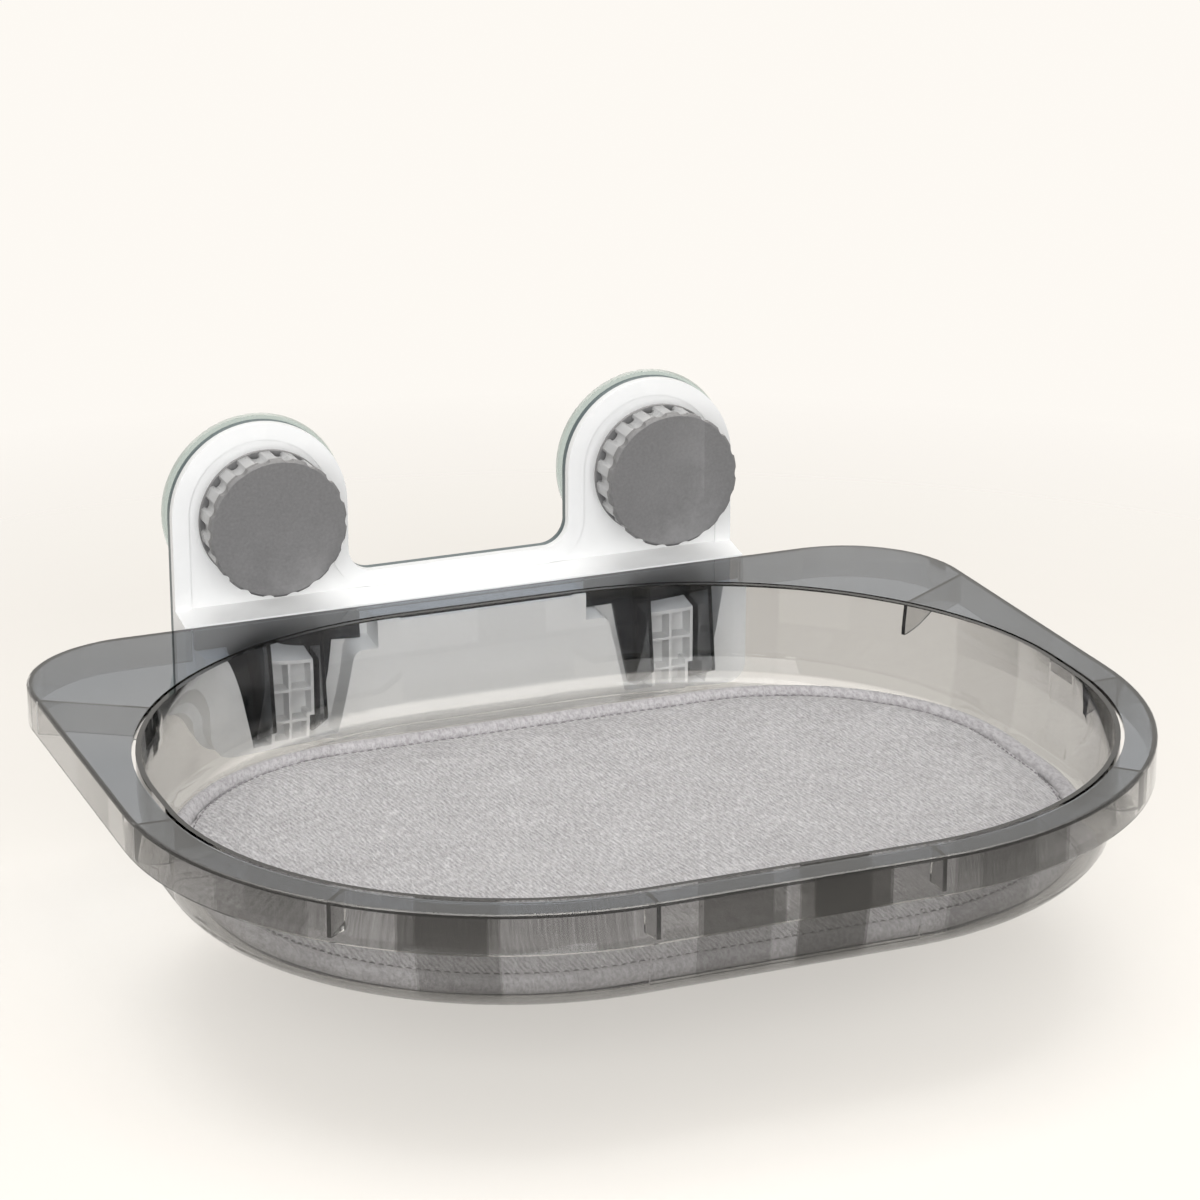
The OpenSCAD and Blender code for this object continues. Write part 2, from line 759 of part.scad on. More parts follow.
module bowl_shape(inset) bed_shape(
    bowl_half_w - inset, bowl_back_off + inset, bowl_front_off - inset,
    bowl_back_r - inset, bowl_front_r - inset
);

module mat_shape(inset) bed_shape(
    mat_half_w - inset, mat_back_off + inset, mat_front_off - inset,
    mat_back_r - inset, mat_front_r - inset
);

// Bowl: leaning wall, corner line, curved foot and floor, in one moulding with flange and skirt
module tray() {
    color("slategray", 0.6) {
        swept(bowl_half_w, bowl_back_off, bowl_front_off, bowl_back_r, bowl_front_r) bowl_section();
        translate([0, 0, underside_z]) linear_extrude(bed_t) bowl_shape(foot_x + bed_t / 2);
        translate([0, 0, flange_z - bed_t]) linear_extrude(bed_t) difference() {
            flange_shape(bed_t * 3 / 2);
            bowl_shape(-bed_t / 2);
        }
        difference() {
            swept(flange_half_w, flange_back_off, flange_front_off, flange_back_r, flange_front_r)
                skirt_section();
            off_glass(flange_back_off - overrun, flange_back_off + bed_t + overrun)
                translate([-block_w / 2 - skirt_gap, flange_z - skirt_h - overrun])
                square([block_w + 2 * skirt_gap, skirt_h + overrun - bed_t - lip_h]);
        }
        tray_ribs();
    }
}

module bowl_section() {
    difference() {
        bowl_area(bed_t, foot_x + bed_t, flange_z);
        bowl_area(0, foot_x + bed_t + overrun, flange_z + overrun);
        polygon([
            [-rim_r, flange_z], [-rim_r, flange_z + overrun],
            [overrun, flange_z + overrun], [0, flange_z - rim_r]
        ]);
    }
}

// Area from the bowl's wall, grown outwards, to a width past the foot's turn
module bowl_area(grow, width, top) {
    r = foot_r - bed_t + grow;
    low = foot_z - r;
    slope = bowl_draft / (bed_h - foot_h);
    intersection() {
        polygon([
            [-grow, top], [-grow, flange_z], [(flange_z - low + overrun) * slope - grow, low - overrun],
            [width, low - overrun], [width, top]
        ]);
        union() {
            translate([foot_x, foot_z]) circle(r = r, $fn = round_fn);
            translate([foot_x, low]) square([width - foot_x + overrun, top - low + overrun]);
            translate([foot_x - r - overrun, foot_z]) square([r + width, top - foot_z + overrun]);
        }
    }
}

// Skirt with the flange's rounded edge
module skirt_section() {
    low = flange_z - skirt_h;
    translate([0, low]) square([bed_t, skirt_h - flange_edge_r]);
    translate([flange_edge_r, flange_z - bed_t]) square([bed_t * 2 - flange_edge_r, bed_t]);
    translate([flange_edge_r, flange_z - flange_edge_r]) circle(r = flange_edge_r, $fn = small_fn);
}

// Points in the middle of the bowl's wall and of the skirt, by corner and share of its turn
function wall_point(back, share) =
    let (
        r = (back ? bowl_back_r : bowl_front_r) + bed_t / 2,
        c = back ? [bowl_half_w - bowl_back_r, -bowl_back_off - bowl_back_r]
            : [bowl_half_w - bowl_front_r, bowl_front_r - bowl_front_off],
        a = back ? 90 * share : -90 * share
    )
    c + r * [cos(a), sin(a)];
function skirt_point(share) =
    [flange_half_w - flange_front_r, flange_front_r - flange_front_off]
        + (flange_front_r - bed_t / 2) * [cos(90 * share), -sin(90 * share)];

module tray_ribs() {
    side_back = flange_back_off + flange_back_r;
    side_front = flange_front_off - flange_front_r;
    on_both_sides() {
        rib(wall_point(true, wing_rib_share),
            [flange_half_w - bed_t / 2, -side_back - wing_rib_end_share * (side_front - side_back)]);
        for (s = front_rib_shares) rib(wall_point(false, s[0]), skirt_point(s[1]));
    }
}

// Upright rib under the flange, from the bowl's leaning wall to the skirt
module rib(from, to) {
    run = to - from;
    low = flange_z - skirt_h + rib_rise;
    lean = bowl_draft * (flange_z - low) / (bed_h - foot_h);
    translate([from[0], from[1], 0]) rotate([0, 0, atan2(run[1], run[0])]) rotate([90, 0, 0])
        translate([0, 0, -rib_t / 2]) linear_extrude(rib_t) polygon([
            [0, flange_z - bed_t / 2], [norm(run), flange_z - bed_t / 2],
            [norm(run), low], [-lean, low]
        ]);
}

// Dark hanger plate: a funnel shape with a slot over the tongue's root, and two gussets
module hanger(side) {
    color("darkslategray", 0.8) on_side(side) translate([hook_x, 0, 0]) {
        off_glass(flange_back_off, flange_back_off + hanger_t) difference() {
            polygon([
                [hanger_in_x, flange_z - bed_t - lip_h], [hanger_in_x, hanger_in_low_z],
                [-hanger_neck_half_w, hanger_in_low_z], [-hanger_foot_half_w, hanger_low_z],
                [hanger_foot_half_w, hanger_low_z], [hanger_neck_half_w, hanger_out_low_z],
                [hanger_out_x, hanger_out_low_z], [hanger_out_x, flange_z - bed_t - lip_h]
            ]);
            translate([-hanger_slot_half_w, hanger_low_z - overrun])
                square([2 * hanger_slot_half_w, root_top_z - hanger_low_z + overrun + seat_gap * 4]);
        }
        for (x = [-gusset_x, gusset_x - gusset_t]) translate([x, 0, 0]) gusset(hook_x + x);
    }
}

// Distance of the bowl's outer back wall from the glass at a place along the window
function wall_off(x) =
    let (r = bowl_back_r + bed_t, run = max(x - (bowl_half_w - bowl_back_r), 0))
    bowl_back_off + bowl_back_r - sqrt(r * r - run * run);

// Upright web from the hanger plate to the bowl's wall, following the wall's lean
module gusset(x) {
    front = -wall_off(x) + seat_gap;
    back = -flange_back_off - hanger_t;
    corner_z = underside_z + foot_h;
    rotate([90, 0, 90]) linear_extrude(gusset_t) polygon([
        [back, flange_z - bed_t], [front, flange_z - bed_t], [front - bowl_draft, corner_z],
        [front - bowl_draft, corner_z - gusset_t], [back - gusset_t, hanger_low_z], [back, hanger_low_z]
    ]);
}

// A flat layer of the mat
module mat_layer(inset, low, high) {
    translate([0, 0, low]) linear_extrude(high - low) mat_shape(inset);
}

module mat_base() {
    color("dimgray") mat_layer(mat_roll_r * 3 / 4, mat_low_z, mat_low_z + mat_base_t);
}

module mat_core() {
    color("gray") mat_layer(
        2 * mat_roll_r + mat_gap, mat_low_z + mat_base_t, mat_low_z + mat_t - mat_cover_t
    );
}

// Cover: a flat middle that falls away to its stitched edge
module mat_cover() {
    inset = 2 * mat_roll_r + mat_gap;
    low = mat_low_z + mat_t - mat_cover_t;
    high = mat_low_z + mat_t;
    color("lightgray") {
        swept(mat_half_w - inset, mat_back_off + inset, mat_front_off - inset,
            mat_back_r - inset, mat_front_r - inset) polygon([
                [0, low], [0, high - mat_shoulder_fall], [mat_shoulder_w / 3, high - mat_shoulder_fall / 3],
                [mat_shoulder_w, high], [mat_shoulder_w + overrun, high], [mat_shoulder_w + overrun, low]
            ]);
        mat_layer(inset + mat_shoulder_w + overrun / 2, low, high);
    }
}

// Rolled edge: a round bead that follows the mat's outline
module mat_binding() {
    color("silver") swept(mat_half_w, mat_back_off, mat_front_off, mat_back_r, mat_front_r)
        translate([mat_roll_r, mat_low_z + mat_base_t + mat_roll_r]) circle(r = mat_roll_r, $fn = small_fn);
}

bracket_front();
bracket_rear();
bracket_screws();
bumper_pads();
tongue(-1);  // tongue_left
tongue(1);  // tongue_right
cup(-1);  // cup_left
cup(1);  // cup_right
stud(-1);  // stud_left
stud(1);  // stud_right
washer(-1);  // washer_left
washer(1);  // washer_right
nut(-1);  // nut_left
nut(1);  // nut_right
knob_body(-1);  // knob_body_left
knob_body(1);  // knob_body_right
knob_grip(-1);  // knob_grip_left
knob_grip(1);  // knob_grip_right
knob_cap(-1);  // knob_cap_left
knob_cap(1);  // knob_cap_right
tray();
hanger(-1);  // hanger_left
hanger(1);  // hanger_right
mat_base();
mat_core();
mat_cover();
mat_binding();
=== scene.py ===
"""Looks of the window mounted cat perch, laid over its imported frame."""
import math
import random

import bmesh
import bpy
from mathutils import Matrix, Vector, noise
from mathutils.bvhtree import BVHTree
from mathutils.kdtree import KDTree


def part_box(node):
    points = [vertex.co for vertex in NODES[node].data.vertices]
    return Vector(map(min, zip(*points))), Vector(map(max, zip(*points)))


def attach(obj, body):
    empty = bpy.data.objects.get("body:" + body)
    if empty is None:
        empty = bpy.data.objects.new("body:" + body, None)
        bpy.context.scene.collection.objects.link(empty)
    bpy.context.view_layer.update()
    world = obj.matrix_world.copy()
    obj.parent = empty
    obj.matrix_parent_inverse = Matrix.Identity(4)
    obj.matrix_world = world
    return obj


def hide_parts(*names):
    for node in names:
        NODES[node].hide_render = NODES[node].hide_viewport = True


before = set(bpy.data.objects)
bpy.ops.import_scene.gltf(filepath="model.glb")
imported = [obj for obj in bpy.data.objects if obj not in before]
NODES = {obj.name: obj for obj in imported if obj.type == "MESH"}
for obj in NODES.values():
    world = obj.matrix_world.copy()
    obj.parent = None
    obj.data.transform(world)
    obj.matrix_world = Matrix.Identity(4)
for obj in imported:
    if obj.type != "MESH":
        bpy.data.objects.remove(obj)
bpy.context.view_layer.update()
MAT_LOW, MAT_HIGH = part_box("mat_binding")
SIDES = ("left", "right")

bl_info = {
    "name": "Window cat perch looks",
    "version": (1, 0, 0),
    "blender": (4, 5, 0),
    "location": "3D View > Sidebar > Cat Perch",
    "description": "Dresses the packed cat perch with its mouldings' finish, its mat and a studio",
    "category": "Object",
}


# Nodes and sockets

FLOAT, COLOUR = "NodeSocketFloat", "NodeSocketColor"
COLUMN_WIDTH, ROW_HEIGHT, ROWS, FIRST_COLUMN = 190, 170, 4, -1500
# A Mix node's sockets for colours, among those for its other kinds
MIX_A, MIX_B, MIX_RESULT = 6, 7, 2


def rgba(colour):
    return (*colour, 1.0)


class Tree:
    """A short way to write down a shader tree."""

    def __init__(self, tree):
        self.tree = tree
        self.column = 0

    def add(self, kind, **values):
        node = self.tree.nodes.new(kind)
        node.location = (self.column * COLUMN_WIDTH + FIRST_COLUMN, -(self.column % ROWS) * ROW_HEIGHT)
        self.column += 1
        for name, value in values.items():
            setattr(node, name, value)
        return node

    def join(self, source, socket):
        """Links a socket to its source, or sets it to a plain value."""
        if isinstance(source, bpy.types.NodeSocket):
            self.tree.links.new(source, socket)
        else:
            socket.default_value = source

    def feed(self, node, **inputs):
        """Joins several inputs of a node; underscores in a name stand for spaces."""
        for name, source in inputs.items():
            self.join(source, node.inputs[name.replace("_", " ")])
        return node

    def maths(self, operation, a, b=0.5, clamp=False):
        node = self.add("ShaderNodeMath", operation=operation, use_clamp=clamp)
        self.join(a, node.inputs[0])
        self.join(b, node.inputs[1])
        return node.outputs[0]

    def plus(self, a, b, clamp=False):
        return self.maths("ADD", a, b, clamp)

    def minus(self, a, b):
        return self.maths("SUBTRACT", a, b)

    def times(self, a, b, clamp=False):
        return self.maths("MULTIPLY", a, b, clamp)

    def blend(self, share, a, b):
        """Mixes two colours."""
        node = self.add("ShaderNodeMix", data_type="RGBA")
        for source, socket in ((share, 0), (a, MIX_A), (b, MIX_B)):
            self.join(source, node.inputs[socket])
        return node.outputs[MIX_RESULT]

    def place(self):
        """Where a point lies in its object's own coordinates."""
        return self.add("ShaderNodeTexCoord").outputs["Object"]

    def axes(self, vector):
        """The X, Y and Z of a vector."""
        node = self.add("ShaderNodeSeparateXYZ")
        self.join(vector, node.inputs[0])
        return node.outputs

    def noise(self, place, size, detail, rough):
        node = self.add("ShaderNodeTexNoise")
        self.feed(node, Vector=place, Scale=size, Detail=detail, Roughness=rough)
        return node.outputs["Fac"]

    def stretched_noise(self, place, scale, detail, rough, turn=0.0):
        """Noise with a size of its own along each axis."""
        stretch = self.add("ShaderNodeMapping")
        self.feed(stretch, Vector=place, Scale=scale, Rotation=(0, 0, turn))
        return self.noise(stretch.outputs[0], 1.0, detail, rough)

    def ramp(self, factor, low, high):
        """Rises from 0 at low to 1 at high."""
        node = self.add("ShaderNodeMapRange")
        self.feed(node, Value=factor, From_Min=low, From_Max=high)
        return node.outputs[0]

    def either(self, share, a, b):
        """Mixes two shaders."""
        node = self.add("ShaderNodeMixShader")
        for source, socket in ((share, 0), (a, 1), (b, 2)):
            self.join(source, node.inputs[socket])
        return node.outputs[0]


def new_group(name, inputs):
    """An empty node group that puts out a colour, a roughness and a height."""
    group = bpy.data.node_groups.new(name, "ShaderNodeTree")
    for label, kind, value in inputs:
        group.interface.new_socket(label, in_out="INPUT", socket_type=kind).default_value = value
    for label, kind in (("Colour", COLOUR), ("Roughness", FLOAT), ("Height", FLOAT)):
        group.interface.new_socket(label, in_out="OUTPUT", socket_type=kind)
    tree = Tree(group)
    return group, tree, tree.add("NodeGroupInput").outputs, tree.add("NodeGroupOutput").inputs


def moulded_grain():
    """Fine grain, faint flow marks and paler worn edges of opaque moulded plastic."""
    name = "Moulded grain"
    if name in bpy.data.node_groups:
        return bpy.data.node_groups[name]
    group, t, given, made = new_group(name, (
        ("Colour", COLOUR, (0.5, 0.5, 0.5, 1)), ("Worn Colour", COLOUR, (0.6, 0.6, 0.6, 1)),
        ("Grain Size", FLOAT, 900.0), ("Mottle Size", FLOAT, 14.0), ("Roughness", FLOAT, 0.4),
        ("Variation", FLOAT, 0.06), ("Wear", FLOAT, 0.3)))
    smudge_gloss, mottle_height = 0.22, 0.25
    place = t.place()
    grain = t.noise(place, given["Grain Size"], detail=2.0, rough=0.6)
    mottle = t.noise(place, given["Mottle Size"], detail=4.0, rough=0.6)
    smudge = t.noise(place, size=55.0, detail=5.0, rough=0.65)
    edge = t.ramp(t.add("ShaderNodeNewGeometry").outputs["Pointiness"], low=0.52, high=0.58)
    rubbed = t.times(t.times(edge, given["Wear"]), t.ramp(smudge, low=0.35, high=0.65), clamp=True)
    mottled = t.add("ShaderNodeVectorMath", operation="SCALE")
    t.join(given["Colour"], mottled.inputs[0])
    t.join(t.minus(1.0, t.times(given["Variation"], mottle)), mottled.inputs["Scale"])
    t.join(t.blend(rubbed, mottled.outputs[0], given["Worn Colour"]), made["Colour"])
    smudged = t.times(t.minus(smudge, 0.5), smudge_gloss)
    t.join(t.plus(given["Roughness"], smudged, clamp=True), made["Roughness"])
    t.join(t.plus(grain, t.times(mottle, mottle_height)), made["Height"])
    return group


def clear_flow():
    """Slight waviness, haze and dust of clear moulded plastic, with bands of painted reflection, dark and
    light, in its upright walls.
    """
    name = "Clear flow"
    if name in bpy.data.node_groups:
        return bpy.data.node_groups[name]
    group, t, given, made = new_group(name, (
        ("Tint", COLOUR, (0.5, 0.5, 0.5, 1)), ("Level Tint", COLOUR, (0.4, 0.4, 0.4, 1)),
        ("Band Tint", COLOUR, (1, 1, 1, 1)), ("Wave Size", FLOAT, 9.0), ("Roughness", FLOAT, 0.03),
        ("Haze", FLOAT, 0.05), ("Bands", FLOAT, 0.0)))
    place = t.place()
    wave = t.noise(place, given["Wave Size"], detail=1.5, rough=0.4)
    haze = t.noise(place, size=70.0, detail=6.0, rough=0.7)
    across, along, up = t.axes(place)
    facing_up = t.axes(t.add("ShaderNodeTexCoord").outputs["Normal"])[2]
    flat = t.ramp(t.maths("ABSOLUTE", facing_up), low=0.55, high=0.95)
    # The rim alone has the level tint: it ends just under the flange
    rim = t.times(flat, t.ramp(up, low=-0.064, high=-0.060))
    least_streak = 0.88
    streak = t.plus(least_streak, t.times(t.ramp(wave, low=0.3, high=0.7), 1.0 - least_streak))
    streaked = t.times(rim, streak, clamp=True)
    # Bands of painted reflection stand round the bed's middle, with a plain step from one to the next
    bed_middle, bands_per_radian, contrast = 0.24, 5.2, 2.4
    cells = t.add("ShaderNodeTexVoronoi", voronoi_dimensions="1D", feature="F1")
    t.feed(cells, W=t.maths("ARCTAN2", across, t.plus(along, bed_middle)), Scale=bands_per_radian)
    tone = t.add("ShaderNodeSeparateColor")
    t.join(cells.outputs["Color"], tone.inputs[0])
    reflection_band = t.maths("POWER", tone.outputs[0], contrast)
    # Under the skirt's foot they are even, and further to the front than in the skirt
    under_skirt = t.minus(1.0, t.ramp(up, low=-0.0700, high=-0.0692))
    even_tone, set_back, least = 0.30, 0.10, 0.16
    forward = t.minus(t.times(along, -1.0), t.times(under_skirt, set_back))
    forward = t.ramp(forward, low=0.15, high=0.33)
    reflection_band = t.maths("MAXIMUM", reflection_band, t.times(under_skirt, even_tone))
    reflection_band = t.times(reflection_band, t.plus(least, t.times(forward, 1.0 - least)))
    reflection_band = t.times(reflection_band, t.minus(1.0, flat))
    reflection_band = t.times(reflection_band, given["Bands"], clamp=True)
    upright = t.blend(reflection_band, given["Tint"], given["Band Tint"])
    t.join(t.blend(streaked, upright, given["Level Tint"]), made["Colour"])
    dusty = t.times(t.ramp(haze, low=0.5, high=0.85), given["Haze"])
    t.join(t.plus(given["Roughness"], dusty, clamp=True), made["Roughness"])
    t.join(wave, made["Height"])
    return group


def turned_metal():
    """Fine lathe lines and light tarnish round an axis along Y."""
    name = "Turned metal"
    if name in bpy.data.node_groups:
        return bpy.data.node_groups[name]
    group, t, given, made = new_group(name, (
        ("Colour", COLOUR, (0.6, 0.6, 0.6, 1)), ("Tarnish", COLOUR, (0.4, 0.35, 0.3, 1)),
        ("Roughness", FLOAT, 0.3), ("Amount", FLOAT, 0.4)))
    line_gloss = 0.2
    place = t.place()
    lines = t.stretched_noise(place, scale=(60, 9000, 60), detail=2.0, rough=0.5)
    patch = t.noise(place, size=240.0, detail=5.0, rough=0.7)
    share = t.times(t.ramp(patch, low=0.45, high=0.75), given["Amount"])
    t.join(t.blend(share, given["Colour"], given["Tarnish"]), made["Colour"])
    t.join(t.plus(given["Roughness"], t.times(lines, line_gloss), clamp=True), made["Roughness"])
    t.join(lines, made["Height"])
    return group


def twill_weave():
    """Broken twill ribs of a heather yarn, running towards the bed's front, with stray fibres."""
    name = "Twill weave"
    if name in bpy.data.node_groups:
        return bpy.data.node_groups[name]
    group, t, given, made = new_group(name, (
        ("Pale Yarn", COLOUR, (0.55, 0.53, 0.53, 1)), ("Dark Yarn", COLOUR, (0.3, 0.28, 0.29, 1)),
        ("Ribs Per Metre", FLOAT, 500.0), ("Ribs", FLOAT, 0.26), ("Heather", FLOAT, 0.5),
        ("Fuzz", FLOAT, 0.35)))
    slant, wander = 0.12, 0.0042
    place = t.place()
    across, along, _ = t.axes(place)
    wobble = t.times(t.minus(t.noise(place, size=110.0, detail=3.0, rough=0.6), 0.5), wander)
    rib_place = t.plus(t.plus(across, t.times(along, slant)), wobble)
    turn = t.times(given["Ribs Per Metre"], 2 * math.pi)
    rib = t.times(t.plus(t.maths("SINE", t.times(rib_place, turn)), 1.0), 0.5)
    # Short strokes of yarn break up the straight ribs
    stroke = t.stretched_noise(place, scale=(680, 210, 500), detail=3.0, rough=0.7, turn=math.radians(-7))
    stroke = t.ramp(stroke, low=0.40, high=0.60)
    broken = t.plus(t.times(rib, given["Ribs"]), t.times(stroke, t.minus(1.0, given["Ribs"])))
    fleck = t.noise(place, size=1500.0, detail=2.0, rough=0.7)
    patch = t.ramp(t.noise(place, size=34.0, detail=3.0, rough=0.6), low=0.3, high=0.7)
    stroke_share, gap_shade, patch_shade = 0.4, 0.95, 0.12
    speck = t.plus(t.times(stroke, stroke_share), t.times(fleck, 1.0 - stroke_share))
    speck = t.ramp(speck, low=0.38, high=0.66)
    shade = t.plus(t.times(t.minus(1.0, broken), gap_shade), t.times(speck, given["Heather"]))
    shade = t.plus(shade, t.times(t.minus(patch, 0.5), patch_shade), clamp=True)
    t.join(t.blend(shade, given["Pale Yarn"], given["Dark Yarn"]), made["Colour"])
    dull, fleck_gloss = 0.82, 0.15
    t.join(t.plus(dull, t.times(fleck, fleck_gloss)), made["Roughness"])
    fuzz = t.times(t.noise(place, size=2600.0, detail=2.0, rough=0.7), given["Fuzz"])
    t.join(t.plus(broken, fuzz), made["Height"])
    return group


# Materials

# How much paler a worn edge is than the plastic
WORN_GAIN, WORN_LIFT = 1.25, 0.04


def bare_material(name):
    material = bpy.data.materials.new(name)
    material.use_nodes = True
    material.node_tree.nodes.clear()
    t = Tree(material.node_tree)
    shader = t.add("ShaderNodeBsdfPrincipled")
    output = t.add("ShaderNodeOutputMaterial")
    t.join(shader.outputs[0], output.inputs["Surface"])
    return material, t, shader, output


def skin(t, shader, group, relief, depth, **values):
    """Feeds a shader's colour, roughness and bump from a node group."""
    look = t.feed(t.add("ShaderNodeGroup", node_tree=group), **values).outputs
    bump = t.feed(t.add("ShaderNodeBump"), Strength=relief, Distance=depth, Height=look["Height"])
    t.feed(shader, Base_Color=look["Colour"], Roughness=look["Roughness"], Normal=bump.outputs[0])


def plastic(name, colour, roughness, grain=900.0, relief=0.25, wear=0.3, variation=0.06,
            specular=0.5, mottle=14.0):
    material, t, shader, _ = bare_material(name)
    worn = (min(1.0, c * WORN_GAIN + WORN_LIFT) for c in colour)
    skin(t, shader, moulded_grain(), relief, depth=0.0002, Colour=rgba(colour), Worn_Colour=rgba(worn),
         Grain_Size=grain, Mottle_Size=mottle, Roughness=roughness, Variation=variation, Wear=wear)
    t.feed(shader, Specular_IOR_Level=specular)
    return material


def clear_plastic(name, tint, level, roughness, haze, ior, lets_light, relief=0.1, wave=9.0,
                  smoke=None, smoke_depth=0.0, reflection_band=(1.0, 1.0, 1.0), bands=0.0):
    material, t, shader, output = bare_material(name)
    skin(t, shader, clear_flow(), relief, depth=0.0006, Tint=rgba(tint), Level_Tint=rgba(level),
         Band_Tint=rgba(reflection_band), Wave_Size=wave, Roughness=roughness, Haze=haze, Bands=bands)
    t.feed(shader, Transmission_Weight=1.0, IOR=ior)
    # Lamps shine through with a tint, so what lies inside isn't in a black shadow
    through = t.feed(t.add("ShaderNodeBsdfTransparent"), Color=rgba(lets_light))
    shadow = t.add("ShaderNodeLightPath").outputs["Is Shadow Ray"]
    t.join(t.either(shadow, shader.outputs[0], through.outputs[0]), output.inputs["Surface"])
    if smoke_depth > 0:
        inside = t.feed(t.add("ShaderNodeVolumeAbsorption"), Color=rgba(smoke), Density=smoke_depth)
        t.join(inside.outputs[0], output.inputs["Volume"])
    return material


def metal(name, colour, tarnish, roughness, amount=0.4):
    material, t, shader, _ = bare_material(name)
    skin(t, shader, turned_metal(), relief=0.2, depth=0.00005, Colour=rgba(colour),
         Tarnish=rgba(tarnish), Roughness=roughness, Amount=amount)
    t.feed(shader, Metallic=1.0)
    return material


def cloth(name, pale, dark, ribs=500.0, heather=0.3, fuzz=0.4, relief=1.0, ribbed=0.26):
    material, t, shader, _ = bare_material(name)
    skin(t, shader, twill_weave(), relief, depth=0.0007, Pale_Yarn=rgba(pale), Dark_Yarn=rgba(dark),
         Ribs_Per_Metre=ribs, Ribs=ribbed, Heather=heather, Fuzz=fuzz)
    t.feed(shader, Sheen_Weight=0.25, Sheen_Roughness=0.5, Specular_IOR_Level=0.2)
    return material


# Dressing CAD nodes

WELD_REACH = 1e-5
SHARP_ANGLE = math.radians(32.0)


def dress(node, material, edge, segments=2):
    """Gives a CAD node its material, and softens its edges by a small bevel."""
    obj = NODES[node]
    obj.data.materials.clear()
    obj.data.materials.append(material)
    obj.modifiers.new("Weld", "WELD").merge_threshold = WELD_REACH
    bevel = obj.modifiers.new("Edge", "BEVEL")
    bevel.width = edge
    bevel.segments = segments
    bevel.limit_method = "ANGLE"
    bevel.angle_limit = SHARP_ANGLE
    bevel.use_clamp_overlap = True
    bevel.harden_normals = False
    bevel.miter_outer = "MITER_ARC"


# Outlines and meshes

# How far apart the planes are that two seeds cut through the noise
SEED_STEP = 0.37


class Oval:
    """The mat's outline: half its width, its back and front from the mounting plane, and its corner radii."""

    def __init__(self, half_w, back, front, back_r, front_r, inset):
        self.half_w = half_w - inset
        self.back = back + inset
        self.front = front - inset
        self.back_r = back_r - inset
        self.front_r = front_r - inset
        self.middle = Vector((0.0, -(back + front) / 2))
        self.path = self.walk()
        self.lengths = [(s[2] - s[1]).length if s[0] == "line" else math.radians(s[3] - s[4]) * s[2]
                        for s in self.path]

    def walk(self):
        """Lines from point to point, and arcs by middle, radius, first and last angle."""
        bx, fx = self.half_w - self.back_r, self.half_w - self.front_r
        by, fy = -(self.back + self.back_r), -(self.front - self.front_r)
        return [
            ("line", Vector((-bx, -self.back)), Vector((bx, -self.back))),
            ("arc", Vector((bx, by)), self.back_r, 90, 0),
            ("line", Vector((self.half_w, by)), Vector((self.half_w, fy))),
            ("arc", Vector((fx, fy)), self.front_r, 0, -90),
            ("line", Vector((fx, -self.front)), Vector((-fx, -self.front))),
            ("arc", Vector((-fx, fy)), self.front_r, 270, 180),
            ("line", Vector((-self.half_w, fy)), Vector((-self.half_w, by))),
            ("arc", Vector((-bx, by)), self.back_r, 180, 90),
        ]

    def at(self, share):
        """Point and outward normal at a share of the outline's length."""
        left = (share % 1.0) * sum(self.lengths)
        for part, size in zip(self.path, self.lengths):
            if left <= size or part is self.path[-1]:
                break
            left -= size
        f = min(max(left / size, 0.0), 1.0)
        if part[0] == "line":
            d = (part[2] - part[1]).normalized()
            return part[1].lerp(part[2], f), Vector((-d.y, d.x))
        a = math.radians(part[3] + (part[4] - part[3]) * f)
        n = Vector((math.cos(a), math.sin(a)))
        return part[1] + n * part[2], n

    def points(self, count):
        return [self.at(k / count)[0] for k in range(count)]

    def inward(self, point, distance):
        """A point moved towards the outline's middle."""
        return point.lerp(self.middle, min(distance / (point - self.middle).length, 1.0))


def raised(point, z):
    return Vector((point.x, point.y, z))


def ripple(point, waves):
    """Smooth unevenness, as a sum of waves by height, number per metre and seed."""
    total = 0.0
    for height, count, seed in waves:
        spot = Vector((point.x * count + seed, point.y * count - seed, seed * SEED_STEP))
        total += height * noise.noise(spot)
    return total


def ring_skin(rings, first=None, last=None, looped=False):
    """Joins rings of points into a skin, which is looped or takes a middle point at either end."""
    n = len(rings[0])
    verts = [v for ring in rings for v in ring]
    faces = []
    for k in range(len(rings) if looped else len(rings) - 1):
        a, b = k * n, (k + 1) % len(rings) * n
        faces += [(a + i, a + (i + 1) % n, b + (i + 1) % n, b + i) for i in range(n)]
    if first is not None:
        faces += [(len(verts), (i + 1) % n, i) for i in range(n)]
        verts.append(first)
    if last is not None:
        end = (len(rings) - 1) * n
        faces += [(len(verts), end + i, end + (i + 1) % n) for i in range(n)]
        verts.append(last)
    return verts, faces


def mesh_object(name, verts, faces, material, smooth=True):
    mesh = bpy.data.meshes.new(name)
    mesh.from_pydata([tuple(v) for v in verts], [], faces)
    mesh.validate()
    bm = bmesh.new()
    bm.from_mesh(mesh)
    bmesh.ops.recalc_face_normals(bm, faces=bm.faces)
    bm.to_mesh(mesh)
    bm.free()
    mesh.polygons.foreach_set("use_smooth", [smooth] * len(mesh.polygons))
    mesh.materials.append(material)
    obj = bpy.data.objects.new(name, mesh)
    bpy.context.scene.collection.objects.link(obj)
    return obj


# Sizes and colours that a user may change

